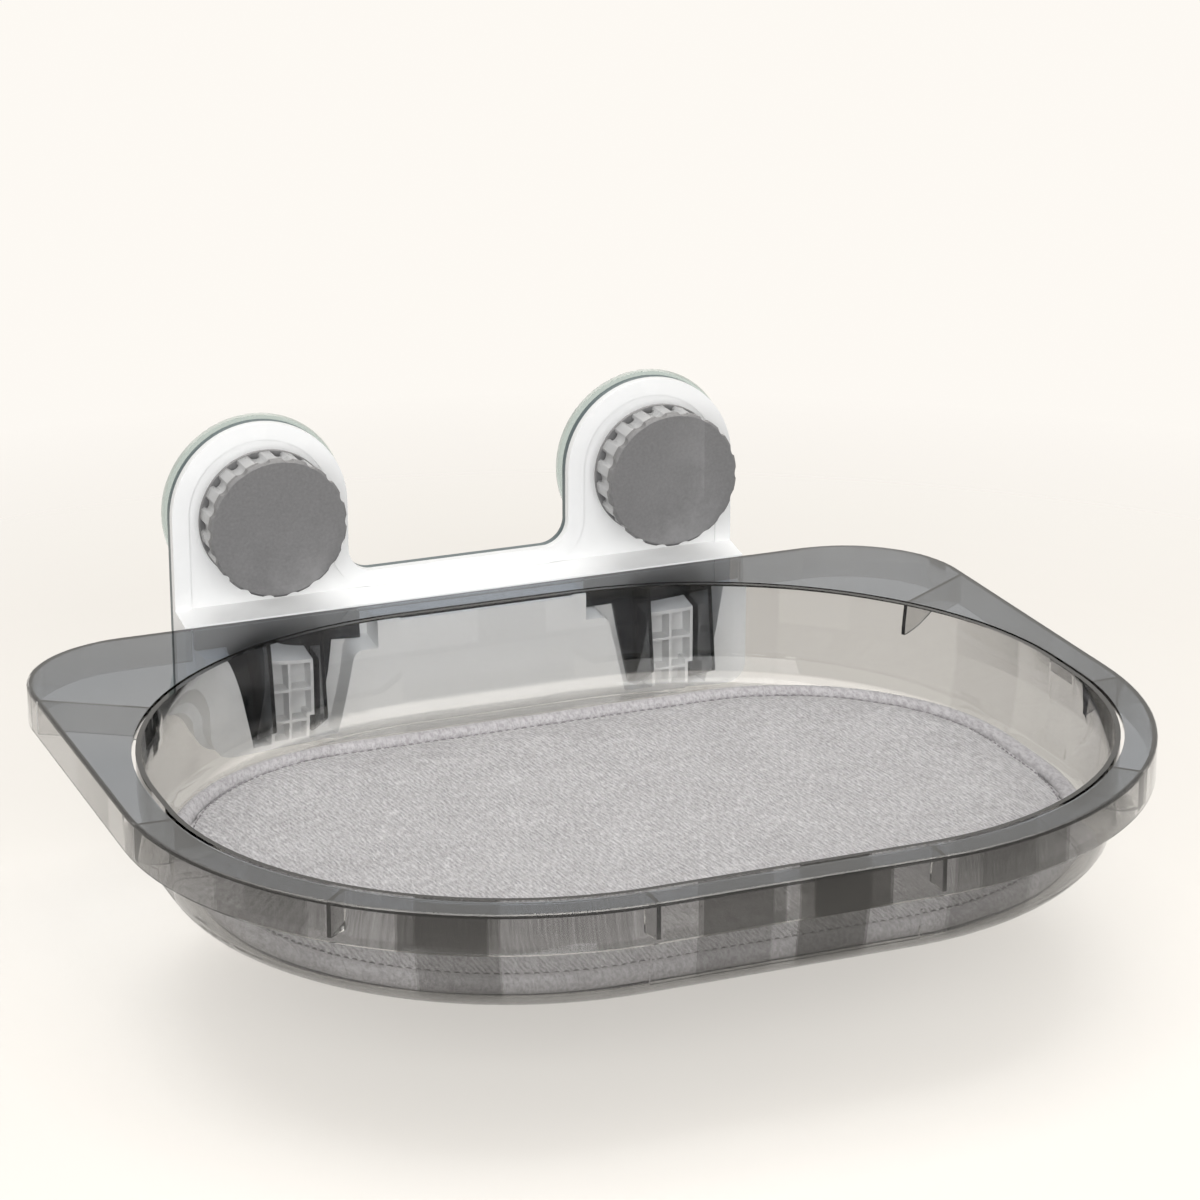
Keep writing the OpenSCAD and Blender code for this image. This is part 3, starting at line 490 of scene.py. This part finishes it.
class PERCH_PG_mat(bpy.types.PropertyGroup):
    half_width: bpy.props.FloatProperty(
        name="Half width", description="Half the mat's width", default=MAT_HIGH[0], unit="LENGTH")
    back: bpy.props.FloatProperty(
        name="Back edge", description="Mat's back edge from the mounting plane",
        default=-MAT_HIGH[1], unit="LENGTH")
    front: bpy.props.FloatProperty(
        name="Front edge", description="Mat's front edge from the mounting plane",
        default=-MAT_LOW[1], unit="LENGTH")
    back_radius: bpy.props.FloatProperty(
        name="Back radius", description="Radius of the mat's back corners", default=0.118, unit="LENGTH")
    front_radius: bpy.props.FloatProperty(
        name="Front radius", description="Radius of the mat's front corners", default=0.146, unit="LENGTH")
    roll: bpy.props.FloatProperty(
        name="Roll", description="Radius of the rolled edge", default=0.0046, unit="LENGTH")
    puff: bpy.props.FloatProperty(
        name="Puff", description="Most that the filling lifts the cloth", default=0.003, unit="LENGTH")
    stitch_pitch: bpy.props.FloatProperty(
        name="Stitch pitch", description="Distance from stitch to stitch", default=0.0042, unit="LENGTH")
    pale_yarn: bpy.props.FloatVectorProperty(
        name="Pale yarn", description="Colour of the twill's pale yarn",
        subtype="COLOR", default=(0.88, 0.862, 0.866))
    dark_yarn: bpy.props.FloatVectorProperty(
        name="Dark yarn", description="Colour of the twill's dark yarn",
        subtype="COLOR", default=(0.33, 0.312, 0.32))


class PERCH_PG_finish(bpy.types.PropertyGroup):
    shell: bpy.props.FloatVectorProperty(
        name="Shell", description="Colour of the white bracket",
        subtype="COLOR", default=(0.845, 0.845, 0.84))
    knob: bpy.props.FloatVectorProperty(
        name="Knob", description="Colour of the knobs' faces and bodies",
        subtype="COLOR", default=(0.20, 0.198, 0.199))
    grip: bpy.props.FloatVectorProperty(
        name="Grip", description="Colour of the knobs' grip rings",
        subtype="COLOR", default=(0.42, 0.42, 0.42))
    tongue: bpy.props.FloatVectorProperty(
        name="Tongue", description="Colour of the ribbed tongues",
        subtype="COLOR", default=(0.82, 0.82, 0.82))
    bed: bpy.props.FloatVectorProperty(
        name="Bed", description="Tint of the clear bed's upright walls",
        subtype="COLOR", default=(0.985, 0.98, 0.97))
    # The bed's bands are painted reflection: dark stripes round its upright walls
    bed_reflection_band: bpy.props.FloatVectorProperty(
        name="Bed reflection bands", description="Tint of the darker painted reflection bands round the bed's walls",
        subtype="COLOR", default=(0.17, 0.165, 0.15))
    bed_level: bpy.props.FloatVectorProperty(
        name="Bed rim", description="Tint of the bed's level rim",
        subtype="COLOR", default=(0.345, 0.395, 0.46))
    smoke: bpy.props.FloatVectorProperty(
        name="Smoke", description="What the bed's plastic lets through",
        subtype="COLOR", default=(0.0, 0.0, 0.0))
    smoke_depth: bpy.props.FloatProperty(
        name="Smoke depth", default=170.0,
        description="How fast the bed's plastic takes off light, per metre")
    hanger: bpy.props.FloatVectorProperty(
        name="Hanger", description="Tint of the bed's hangers", subtype="COLOR", default=(0.10, 0.11, 0.12))
    cup: bpy.props.FloatVectorProperty(
        name="Cup", description="Tint of the clear suction cups",
        subtype="COLOR", default=(0.86, 0.90, 0.88))
    cup_smoke: bpy.props.FloatVectorProperty(
        name="Cup depth tint", description="What the cups' soft plastic lets through",
        subtype="COLOR", default=(0.0, 0.22, 0.20))
    cup_depth: bpy.props.FloatProperty(
        name="Cup depth", description="How fast the cups take off light, per metre", default=150.0)
    # The rear plate's dark teal is painted shade: it stands for the shadowed gap between the bracket and the
    # window
    rear: bpy.props.FloatVectorProperty(
        name="Rear plate", description="Dark teal painted shade on the bracket's rear plate",
        subtype="COLOR", default=(0.060, 0.088, 0.094))
    edge: bpy.props.FloatProperty(
        name="Edge", description="Radius of the bracket's softened edges", default=0.0009, unit="LENGTH")


class PERCH_PG_stage(bpy.types.PropertyGroup):
    floor_drop: bpy.props.FloatProperty(
        name="Floor", description="Floor's height from the cups' axes", default=-0.175, unit="LENGTH")
    floor_clear: bpy.props.FloatProperty(
        name="Floor clearness", description="Share of the backdrop seen through the floor",
        default=0.46, subtype="FACTOR")
    floor_colour: bpy.props.FloatVectorProperty(
        name="Floor colour", description="Colour of the floor", subtype="COLOR", default=(0.97, 0.925, 0.86))
    backdrop: bpy.props.FloatVectorProperty(
        name="Backdrop", description="Colour seen behind the perch",
        subtype="COLOR", default=(0.985, 0.95, 0.90))
    panel: bpy.props.FloatProperty(
        name="Overhead panel", default=4.0,
        description="How much brighter than the backdrop the panel overhead is that gloss reflects")
    soft_light: bpy.props.FloatProperty(
        name="Soft light", description="Strength of the even light from all round", default=0.44)
    camera_place: bpy.props.FloatVectorProperty(
        name="Camera", description="Camera's place", subtype="TRANSLATION",
        default=(-0.6518, -1.79338, 0.59844))
    camera_turn: bpy.props.FloatProperty(
        name="Turn", description="Camera's turn to the right", subtype="ANGLE", default=0.388531)
    camera_dip: bpy.props.FloatProperty(
        name="Dip", description="Camera's look down", subtype="ANGLE", default=0.334576)
    focal: bpy.props.FloatProperty(
        name="Focal length", description="Lens on a 36 mm sensor, in millimetres", default=117.83)


# Bracket, cups, knobs and bed

REAR_EDGE_SHARE = 0.7


class PERCH_OT_bracket(bpy.types.Operator):
    """Finish the bracket, its tongues, screws and feet"""
    bl_idname = "perch.bracket"
    bl_label = "Bracket"

    def execute(self, context):
        s = context.scene.perch_finish
        shell = plastic("White shell", s.shell, 0.34, grain=1400.0, relief=0.10, wear=0.15,
                        variation=0.03, specular=0.3)
        # The rear plate is dark teal as painted shade of the gap behind the bracket
        rear = plastic("Rear plate", s.rear, 0.36, grain=1200.0, relief=0.14, wear=0.2)
        tongue = plastic("Tongue plastic", s.tongue, 0.42, grain=1100.0, relief=0.2, wear=0.25)
        washer = plastic("Washer plastic", (0.75, 0.75, 0.74), 0.3, relief=0.08)
        screw = metal("Screw steel", (0.55, 0.55, 0.56), (0.3, 0.27, 0.24), 0.28)
        feet = plastic("Soft feet", (0.06, 0.06, 0.062), 0.72, grain=500.0, relief=0.35, wear=0.1)
        dress("bracket_front", shell, s.edge, segments=3)
        dress("bracket_rear", rear, s.edge * REAR_EDGE_SHARE)
        for side in SIDES:
            dress("tongue_" + side, tongue, edge=0.0004)
            dress("washer_" + side, washer, edge=0.0002, segments=1)
        dress("bracket_screws", screw, edge=0.0001, segments=1)
        dress("bumper_pads", feet, edge=0.0003)
        return {"FINISHED"}


class PERCH_OT_suction(bpy.types.Operator):
    """Finish the clear suction cups and their studs"""
    bl_idname = "perch.suction"
    bl_label = "Suction cups"

    def execute(self, context):
        s = context.scene.perch_finish
        cup = clear_plastic("Clear soft cup", s.cup, s.cup, 0.06, haze=0.12, ior=1.46,
                            lets_light=(0.86, 0.92, 0.91), relief=0.15, wave=16.0,
                            smoke=s.cup_smoke, smoke_depth=s.cup_depth)
        stud = plastic("Stud plastic", (0.05, 0.052, 0.055), 0.38, relief=0.12, wear=0.2)
        for side in SIDES:
            dress("cup_" + side, cup, edge=0.0003)
            dress("stud_" + side, stud, edge=0.0002, segments=1)
        return {"FINISHED"}


class PERCH_OT_knobs(bpy.types.Operator):
    """Finish the fluted knobs and their brass inserts"""
    bl_idname = "perch.knobs"
    bl_label = "Knobs"

    def execute(self, context):
        s = context.scene.perch_finish
        face = plastic("Knob face", s.knob, 0.50, grain=420.0, relief=1.0, wear=0.55,
                       variation=0.42, mottle=640.0)
        grip = plastic("Grip ring", s.grip, 0.30, grain=1500.0, relief=0.08, wear=0.35, variation=0.05)
        brass = metal("Insert brass", (0.62, 0.43, 0.16), (0.32, 0.2, 0.08), 0.25)
        for side in SIDES:
            dress("knob_cap_" + side, face, edge=0.0006, segments=3)
            dress("knob_body_" + side, face, edge=0.0003)
            dress("knob_grip_" + side, grip, edge=0.0004)
            dress("nut_" + side, brass, edge=0.0001, segments=1)
        return {"FINISHED"}


class PERCH_OT_bed(bpy.types.Operator):
    """Finish the clear bed and its dark hangers"""
    bl_idname = "perch.bed"
    bl_label = "Bed"

    def execute(self, context):
        s = context.scene.perch_finish
        # The bed's upright walls carry bands of painted reflection
        bed = clear_plastic("Smoke bed", s.bed, s.bed_level, 0.02, haze=0.03, ior=1.5,
                            lets_light=(0.92, 0.925, 0.93), relief=0.12,
                            smoke=s.smoke, smoke_depth=s.smoke_depth, reflection_band=s.bed_reflection_band, bands=1.0)
        dark = clear_plastic("Dark smoke hanger", s.hanger, [c * 0.8 for c in s.hanger], 0.05, haze=0.06,
                             ior=1.5, lets_light=(0.4, 0.4, 0.41))
        dress("tray", bed, edge=0.0007, segments=3)
        for side in SIDES:
            dress("hanger_" + side, dark, edge=0.0003)
        return {"FINISHED"}


# Mat

# Insets from the mat's outline count the rolled edge's radius; what follows them is in metres
PAD_INSET, SEWN_INSET, STITCH_INSET, BACKING_INSET = 1.7, 2.1, 2.5, 0.5
PAD_LIFT, SEAM_DROP, SEAM_WALL, CROWN = 0.0016, 0.0016, 0.0012, 0.0002
# The pad's rings stand this far in from its edge, and then at these shares of the way to its middle
PAD_STEPS = (0.0, 0.0012, 0.0026, 0.0046, 0.0075, 0.0115, 0.017, 0.025, 0.035, 0.048, 0.063,
             0.08, 0.097, 0.114, 0.128)
CAP_SHARES = (0.2, 0.4, 0.6, 0.8)
# It rises and puckers by the seam within about these lengths
RISE_LENGTH, PUCKER_LENGTH = 0.010, 0.006
# Unevenness by height, number per metre and seed: the pad's top, its puckers by the seam, and the rolled
# edge's gathers, whose height is a share of its radius
TOP_WAVES = ((0.00045, 19.0, 2.3), (0.0002, 60.0, 7.1))
PUCKER_WAVES = ((0.00028, 120.0, 4.7),)
GATHER_SHARES = ((0.035, 260.0, 3.3), (0.03, 45.0, 9.9))
# The filling: voxels of its mesh, and what counts as sewn down by the underside and by the seam
VOXEL, SEWN_HEIGHT, SEWN_REACH = 0.004, 0.0036, 0.0042
PUFF_FRAMES = 20
# Inset and height of each ring of the backing, from its underside to its top
BACKING_RINGS = ((0.05, 0.0), (0.0006, 0.0), (0.0, 0.0004), (0.0, 0.0008), (0.0006, 0.0011), (0.05, 0.0011))
BACKING_THICK = 0.0011
# A stitch: the shares of its pitch where it starts and ends, how thin its tips are, and its sizes
STITCH_START, STITCH_END, STITCH_TIP = 0.18, 0.82, 0.55
STITCH_RADIUS, STITCH_SUNK, STITCH_ARCH, STITCH_STRAY = 0.00046, 0.0001, 0.0004, 0.00008
# The seam is looked for on the cloth from this far above it
LOOK_DOWN = 0.02
# Points round the pad, its seam, the rolled edge and the backing
PAD_POINTS, SEAM_POINTS, ROLL_POINTS, BACKING_POINTS = 320, 1200, 520, 240
ROLL_SPOKES, STITCH_ROWS, STITCH_SPOKES = 16, 7, 6


class PERCH_OT_mat(bpy.types.Operator):
    """Make the padded mat with its rolled edge, stitches and backing"""
    bl_idname = "perch.mat"
    bl_label = "Mat"

    def execute(self, context):
        s = context.scene.perch_mat
        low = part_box("mat_base")[0][2]
        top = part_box("mat_cover")[1][2]
        size = (s.half_width, s.back, s.front, s.back_radius, s.front_radius)
        twill = cloth("Heather twill", s.pale_yarn, s.dark_yarn)
        piping = cloth("Rolled edge twill", [c * 0.70 for c in s.pale_yarn], s.dark_yarn,
                       heather=0.45, relief=0.35, ribbed=0.0)
        backing = cloth("Mat backing", (0.16, 0.16, 0.165), (0.09, 0.09, 0.095), ribs=350.0, fuzz=0.2)
        thread = cloth("Stitch thread", (0.30, 0.285, 0.29), (0.2, 0.19, 0.195), ribs=2500.0,
                       heather=0.2, fuzz=0.2, relief=0.2)
        cover = self.pad(size, s.roll, low, top, twill)
        self.puff(cover, size, s.roll, low, s.puff)
        edge = self.roll(size, s.roll, low, piping)
        under = self.under(size, s.roll, low, backing)
        seam = self.stitches(cover, size, s.roll, s.stitch_pitch, top, thread)
        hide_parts("mat_cover", "mat_core")
        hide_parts("mat_binding")
        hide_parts("mat_base")
        for piece, slot in ((cover, "mat_cloth"), (edge, "mat_edge"), (under, "mat_backing"),
                            (seam, "mat_edge")):
            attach(piece, "mat")
        return {"FINISHED"}

    def pad(self, size, roll, low, top, material):
        """Padded middle: it sinks to the seam beside the rolled edge and is slightly uneven on top."""
        outline = Oval(*size, inset=roll * PAD_INSET)
        edge = outline.points(PAD_POINTS)
        foot, seam, crown = low + PAD_LIFT, top - SEAM_DROP, top + CROWN
        rings = [[raised(p, foot) for p in edge], [raised(p, seam - SEAM_WALL) for p in edge]]
        for step in PAD_STEPS:
            rise = 1.0 - math.exp(-step / RISE_LENGTH)
            pucker = math.exp(-step / PUCKER_LENGTH)
            ring = []
            for p in edge:
                q = outline.inward(p, step)
                z = seam + (crown - seam) * rise + ripple(q, TOP_WAVES) * rise
                ring.append(raised(q, z + ripple(p, PUCKER_WAVES) * pucker))
            rings.append(ring)
        # Further rings keep the faces by the middle small
        last = rings[-1]
        for share in CAP_SHARES:
            inner = [v.xy.lerp(outline.middle, share) for v in last]
            rings.append([raised(q, crown + ripple(q, TOP_WAVES)) for q in inner])
        verts, faces = ring_skin(rings, raised(outline.middle, foot), raised(outline.middle, crown))
        return mesh_object("mat_pad", verts, faces, material)

    def puff(self, pad, size, roll, low, most):
        """Fills the pad: cloth under slight pressure, held at its seam and its underside."""
        voxels = pad.modifiers.new("Voxels", "REMESH")
        voxels.mode = "VOXEL"
        voxels.voxel_size = VOXEL
        self.bake(pad)
        start = [v.co.copy() for v in pad.data.vertices]
        seam = KDTree(SEAM_POINTS)
        for k, p in enumerate(Oval(*size, inset=roll * SEWN_INSET).points(SEAM_POINTS)):
            seam.insert(raised(p, 0.0), k)
        seam.balance()
        sewn = [i for i, v in enumerate(start)
                if v.z < low + SEWN_HEIGHT or seam.find(raised(v, 0.0))[2] < SEWN_REACH]
        pad.vertex_groups.new(name="Sewn").add(sewn, 1.0, "REPLACE")
        self.fill(pad)
        held = set(sewn)
        for i, v in enumerate(pad.data.vertices):
            move = v.co - start[i]
            if i in held or move.length == 0.0:
                v.co = start[i]
            else:
                v.co = start[i] + move * (most * math.tanh(move.length / most) / move.length)
        pad.vertex_groups.clear()
        pad.data.polygons.foreach_set("use_smooth", [True] * len(pad.data.polygons))
        smooth = pad.modifiers.new("Smooth", "SUBSURF")
        smooth.levels = smooth.render_levels = 1

    def fill(self, pad):
        """Runs the cloth simulation and keeps its last frame."""
        fabric = pad.modifiers.new("Cloth", "CLOTH")
        fabric.settings.quality = 6
        fabric.settings.mass = 0.2
        fabric.settings.tension_stiffness = 30
        fabric.settings.compression_stiffness = 30
        fabric.settings.bending_stiffness = 2
        fabric.settings.shrink_min = -0.004
        fabric.settings.use_pressure = True
        fabric.settings.uniform_pressure_force = 4
        fabric.settings.vertex_group_mass = "Sewn"
        fabric.settings.effector_weights.gravity = 0.0
        fabric.collision_settings.use_collision = False
        fabric.point_cache.frame_start = 1
        fabric.point_cache.frame_end = PUFF_FRAMES
        for frame_number in range(1, PUFF_FRAMES + 1):
            bpy.context.scene.frame_set(frame_number)
        self.bake(pad)
        bpy.context.scene.frame_set(1)

    def bake(self, pad):
        """Writes what the modifiers make into the mesh, and clears them."""
        depsgraph = bpy.context.evaluated_depsgraph_get()
        mesh = bpy.data.meshes.new_from_object(pad.evaluated_get(depsgraph))
        pad.modifiers.clear()
        pad.data = mesh

    def roll(self, size, roll, low, material):
        """Rolled edge: a soft bead that flattens where it rests, with small gathers."""
        fill_share, flat_share, rest_share, lift = 0.97, 0.86, 0.9, 0.001
        line = Oval(*size, inset=roll)
        rings = []
        for k in range(ROLL_SPOKES):
            a = 2 * math.pi * k / ROLL_SPOKES
            ring = []
            for i in range(ROLL_POINTS):
                p, outward = line.at(i / ROLL_POINTS)
                r = roll * fill_share * (1.0 + ripple(p, GATHER_SHARES))
                z = r * math.sin(a) * (flat_share if math.sin(a) < 0 else 1.0)
                ring.append(raised(p + outward * (r * math.cos(a)), low + lift + roll * rest_share + z))
            rings.append(ring)
        verts, faces = ring_skin(rings, looped=True)
        return mesh_object("mat_rolled_edge", verts, faces, material)

    def under(self, size, roll, low, material):
        """Backing sheet with a rounded edge, under the pad and the rolled edge."""
        outline = Oval(*size, inset=roll * BACKING_INSET)
        edge = outline.points(BACKING_POINTS)
        rings = [[raised(outline.inward(p, inset), low + height) for p in edge]
                 for inset, height in BACKING_RINGS]
        middle = outline.middle
        verts, faces = ring_skin(rings, raised(middle, low), raised(middle, low + BACKING_THICK))
        return mesh_object("mat_underside", verts, faces, material)

    def stitches(self, cover, size, roll, pitch, top, material):
        """A running stitch on the pad's cloth, along its rolled edge."""
        cloth_top = BVHTree.FromPolygons(
            [v.co for v in cover.data.vertices], [p.vertices for p in cover.data.polygons])

        def height(p):
            hit = cloth_top.ray_cast(raised(p, top + LOOK_DOWN), Vector((0.0, 0.0, -1.0)))[0]
            return hit.z if hit else top

        line = Oval(*size, inset=roll * STITCH_INSET)
        count = int(sum(line.lengths) / pitch)
        rnd = random.Random(41)
        verts, faces = [], []
        for i in range(count):
            a, b = (line.at((i + share) / count)[0] for share in (STITCH_START, STITCH_END))
            lift = rnd.uniform(-STITCH_STRAY, STITCH_STRAY)
            start, end = height(a), height(b)
            along = (b - a).normalized()
            side = Vector((-along.y, along.x, 0.0))
            rings = []
            for row in range(STITCH_ROWS):
                f = row / (STITCH_ROWS - 1)
                arch = math.sin(math.pi * f)
                r = STITCH_RADIUS * (STITCH_TIP + (1.0 - STITCH_TIP) * arch)
                z = start + (end - start) * f + lift - STITCH_SUNK + STITCH_ARCH * arch
                c = raised(a.lerp(b, f), z)
                turns = [2 * math.pi * k / STITCH_SPOKES for k in range(STITCH_SPOKES)]
                rings.append([c + side * (math.cos(w) * r) + Vector((0, 0, math.sin(w) * r)) for w in turns])
            points, skin_faces = ring_skin(rings)
            skin_faces += [tuple(reversed(range(STITCH_SPOKES))),
                           tuple(range(len(points) - STITCH_SPOKES, len(points)))]
            faces += [tuple(len(verts) + k for k in face) for face in skin_faces]
            verts += points
        return mesh_object("mat_seam_stitches", verts, faces, material)


# Floor, light and camera

class PERCH_OT_stage(bpy.types.Operator):
    """Set up the floor, the lights and the camera"""
    bl_idname = "perch.stage"
    bl_label = "Stage"

    def execute(self, context):
        s = context.scene.perch_stage
        self.floor(s)
        self.world(s)
        self.lamps()
        camera = bpy.data.cameras.new("Camera")
        camera.lens = s.focal
        camera.sensor_width = 36.0
        camera.sensor_fit = "HORIZONTAL"
        camera.clip_end = 60.0
        eye = bpy.data.objects.new("Camera", camera)
        eye.location = s.camera_place
        eye.rotation_euler = (math.pi / 2 - s.camera_dip, 0.0, -s.camera_turn)
        context.scene.collection.objects.link(eye)
        context.scene.camera = eye
        context.scene.view_settings.view_transform = "Standard"
        return {"FINISHED"}

    def floor(self, s):
        """Pale floor that fades into the backdrop well outside the perch's shadow."""
        spokes, radii, middle_y = 96, (2.6, 1.6, 0.8, 0.3), -0.2
        turns = [2 * math.pi * i / spokes for i in range(spokes)]
        rings = [[Vector((r * math.cos(a), r * math.sin(a) + middle_y, s.floor_drop)) for a in turns]
                 for r in radii]
        middle = (0.0, middle_y, s.floor_drop)
        material, t, shader, output = bare_material("Floor")
        place = t.place()
        speck = t.noise(place, size=3.0, detail=2.0, rough=0.5)
        dim = (c * 0.99 for c in s.floor_colour)
        t.feed(shader, Base_Color=t.blend(speck, rgba(s.floor_colour), rgba(dim)), Roughness=0.9,
               Specular_IOR_Level=0.0)
        from_middle = t.add("ShaderNodeVectorMath", operation="DISTANCE")
        t.join(place, from_middle.inputs[0])
        t.join(middle, from_middle.inputs[1])
        faded = t.ramp(from_middle.outputs["Value"], low=0.25, high=0.95)
        # Seen from below, the floor isn't there
        hidden = t.maths("MAXIMUM", faded, t.add("ShaderNodeNewGeometry").outputs["Backfacing"], clamp=True)
        hidden = t.maths("MAXIMUM", hidden, s.floor_clear, clamp=True)
        open_side = t.add("ShaderNodeBsdfTransparent")
        t.join(t.either(hidden, shader.outputs[0], open_side.outputs[0]), output.inputs["Surface"])
        verts, faces = ring_skin(rings, last=Vector(middle))
        floor = mesh_object("Floor", verts, faces, material, smooth=False)
        if floor.data.polygons[0].normal.z < 0:
            floor.data.flip_normals()

    def world(self, s):
        """Even light from all round, and the backdrop that the camera, gloss and clear plastic see."""
        world = bpy.data.worlds.new("Studio")
        bpy.context.scene.world = world
        world.use_nodes = True
        world.node_tree.nodes.clear()
        t = Tree(world.node_tree)
        light = t.add("ShaderNodeBackground")
        t.feed(light, Color=rgba((1.0, 0.975, 0.94)), Strength=s.soft_light)
        path = t.add("ShaderNodeLightPath").outputs
        seen_by = t.maths("MAXIMUM", path["Is Camera Ray"], path["Is Transmission Ray"])
        seen_by = t.maths("MAXIMUM", seen_by, path["Is Glossy Ray"])
        # Gloss sees a bright soft panel overhead, which draws a pale line along each rounded edge
        up = t.axes(t.add("ShaderNodeTexCoord").outputs["Generated"])[2]
        panel = t.times(t.ramp(up, low=0.55, high=0.80), path["Is Glossy Ray"])
        backdrop = t.add("ShaderNodeBackground")
        t.feed(backdrop, Color=rgba(s.backdrop), Strength=t.plus(1.0, t.times(panel, s.panel)))
        both = t.either(seen_by, light.outputs[0], backdrop.outputs[0])
        t.join(both, t.add("ShaderNodeOutputWorld").inputs["Surface"])

    def lamps(self):
        """Three soft lamps that gloss doesn't see."""
        for name, power, size, place, aim in (
            ("Overhead", 12.0, (1.0, 0.6), (0.0, -0.22, 1.7), (0.0, -0.22, -0.2)),
            ("Key", 52.0, (2.2, 1.3), (-0.9, -2.2, 0.75), (0.0, -0.15, -0.05)),
            ("Fill", 6.0, (1.2, 1.2), (1.7, -1.1, 0.8), (0.0, -0.2, -0.05)),
        ):
            lamp = bpy.data.lights.new(name, "AREA")
            lamp.energy = power
            lamp.shape = "RECTANGLE"
            lamp.size, lamp.size_y = size
            lamp.color = (0.98, 0.99, 1.0)
            obj = bpy.data.objects.new(name, lamp)
            obj.location = place
            obj.visible_glossy = False
            obj.rotation_euler = (Vector(aim) - Vector(place)).to_track_quat("-Z", "Y").to_euler()
            bpy.context.scene.collection.objects.link(obj)


# Add-on

STEPS = ("bracket", "suction", "knobs", "bed", "mat", "stage")


class PERCH_PT_panel(bpy.types.Panel):
    """Steps that dress the cat perch"""
    bl_idname = "PERCH_PT_panel"
    bl_label = "Cat perch"
    bl_space_type = "VIEW_3D"
    bl_region_type = "UI"
    bl_category = "Cat Perch"

    def draw(self, context):
        layout = self.layout
        for step in STEPS:
            layout.operator("perch." + step)
        for group in ("perch_finish", "perch_mat", "perch_stage"):
            box = layout.box()
            holder = getattr(context.scene, group)
            for name in holder.__annotations__:
                box.prop(holder, name)


CLASSES = (
    PERCH_PG_mat, PERCH_PG_finish, PERCH_PG_stage, PERCH_OT_bracket, PERCH_OT_suction,
    PERCH_OT_knobs, PERCH_OT_bed, PERCH_OT_mat, PERCH_OT_stage, PERCH_PT_panel,
)


def register():
    for cls in CLASSES:
        bpy.utils.register_class(cls)
    bpy.types.Scene.perch_mat = bpy.props.PointerProperty(type=PERCH_PG_mat)
    bpy.types.Scene.perch_finish = bpy.props.PointerProperty(type=PERCH_PG_finish)
    bpy.types.Scene.perch_stage = bpy.props.PointerProperty(type=PERCH_PG_stage)


def unregister():
    del bpy.types.Scene.perch_stage
    del bpy.types.Scene.perch_finish
    del bpy.types.Scene.perch_mat
    for cls in reversed(CLASSES):
        bpy.utils.unregister_class(cls)


def main():
    register()
    for step in STEPS:
        getattr(bpy.ops.perch, step)()


if __name__ == "__main__":
    main()
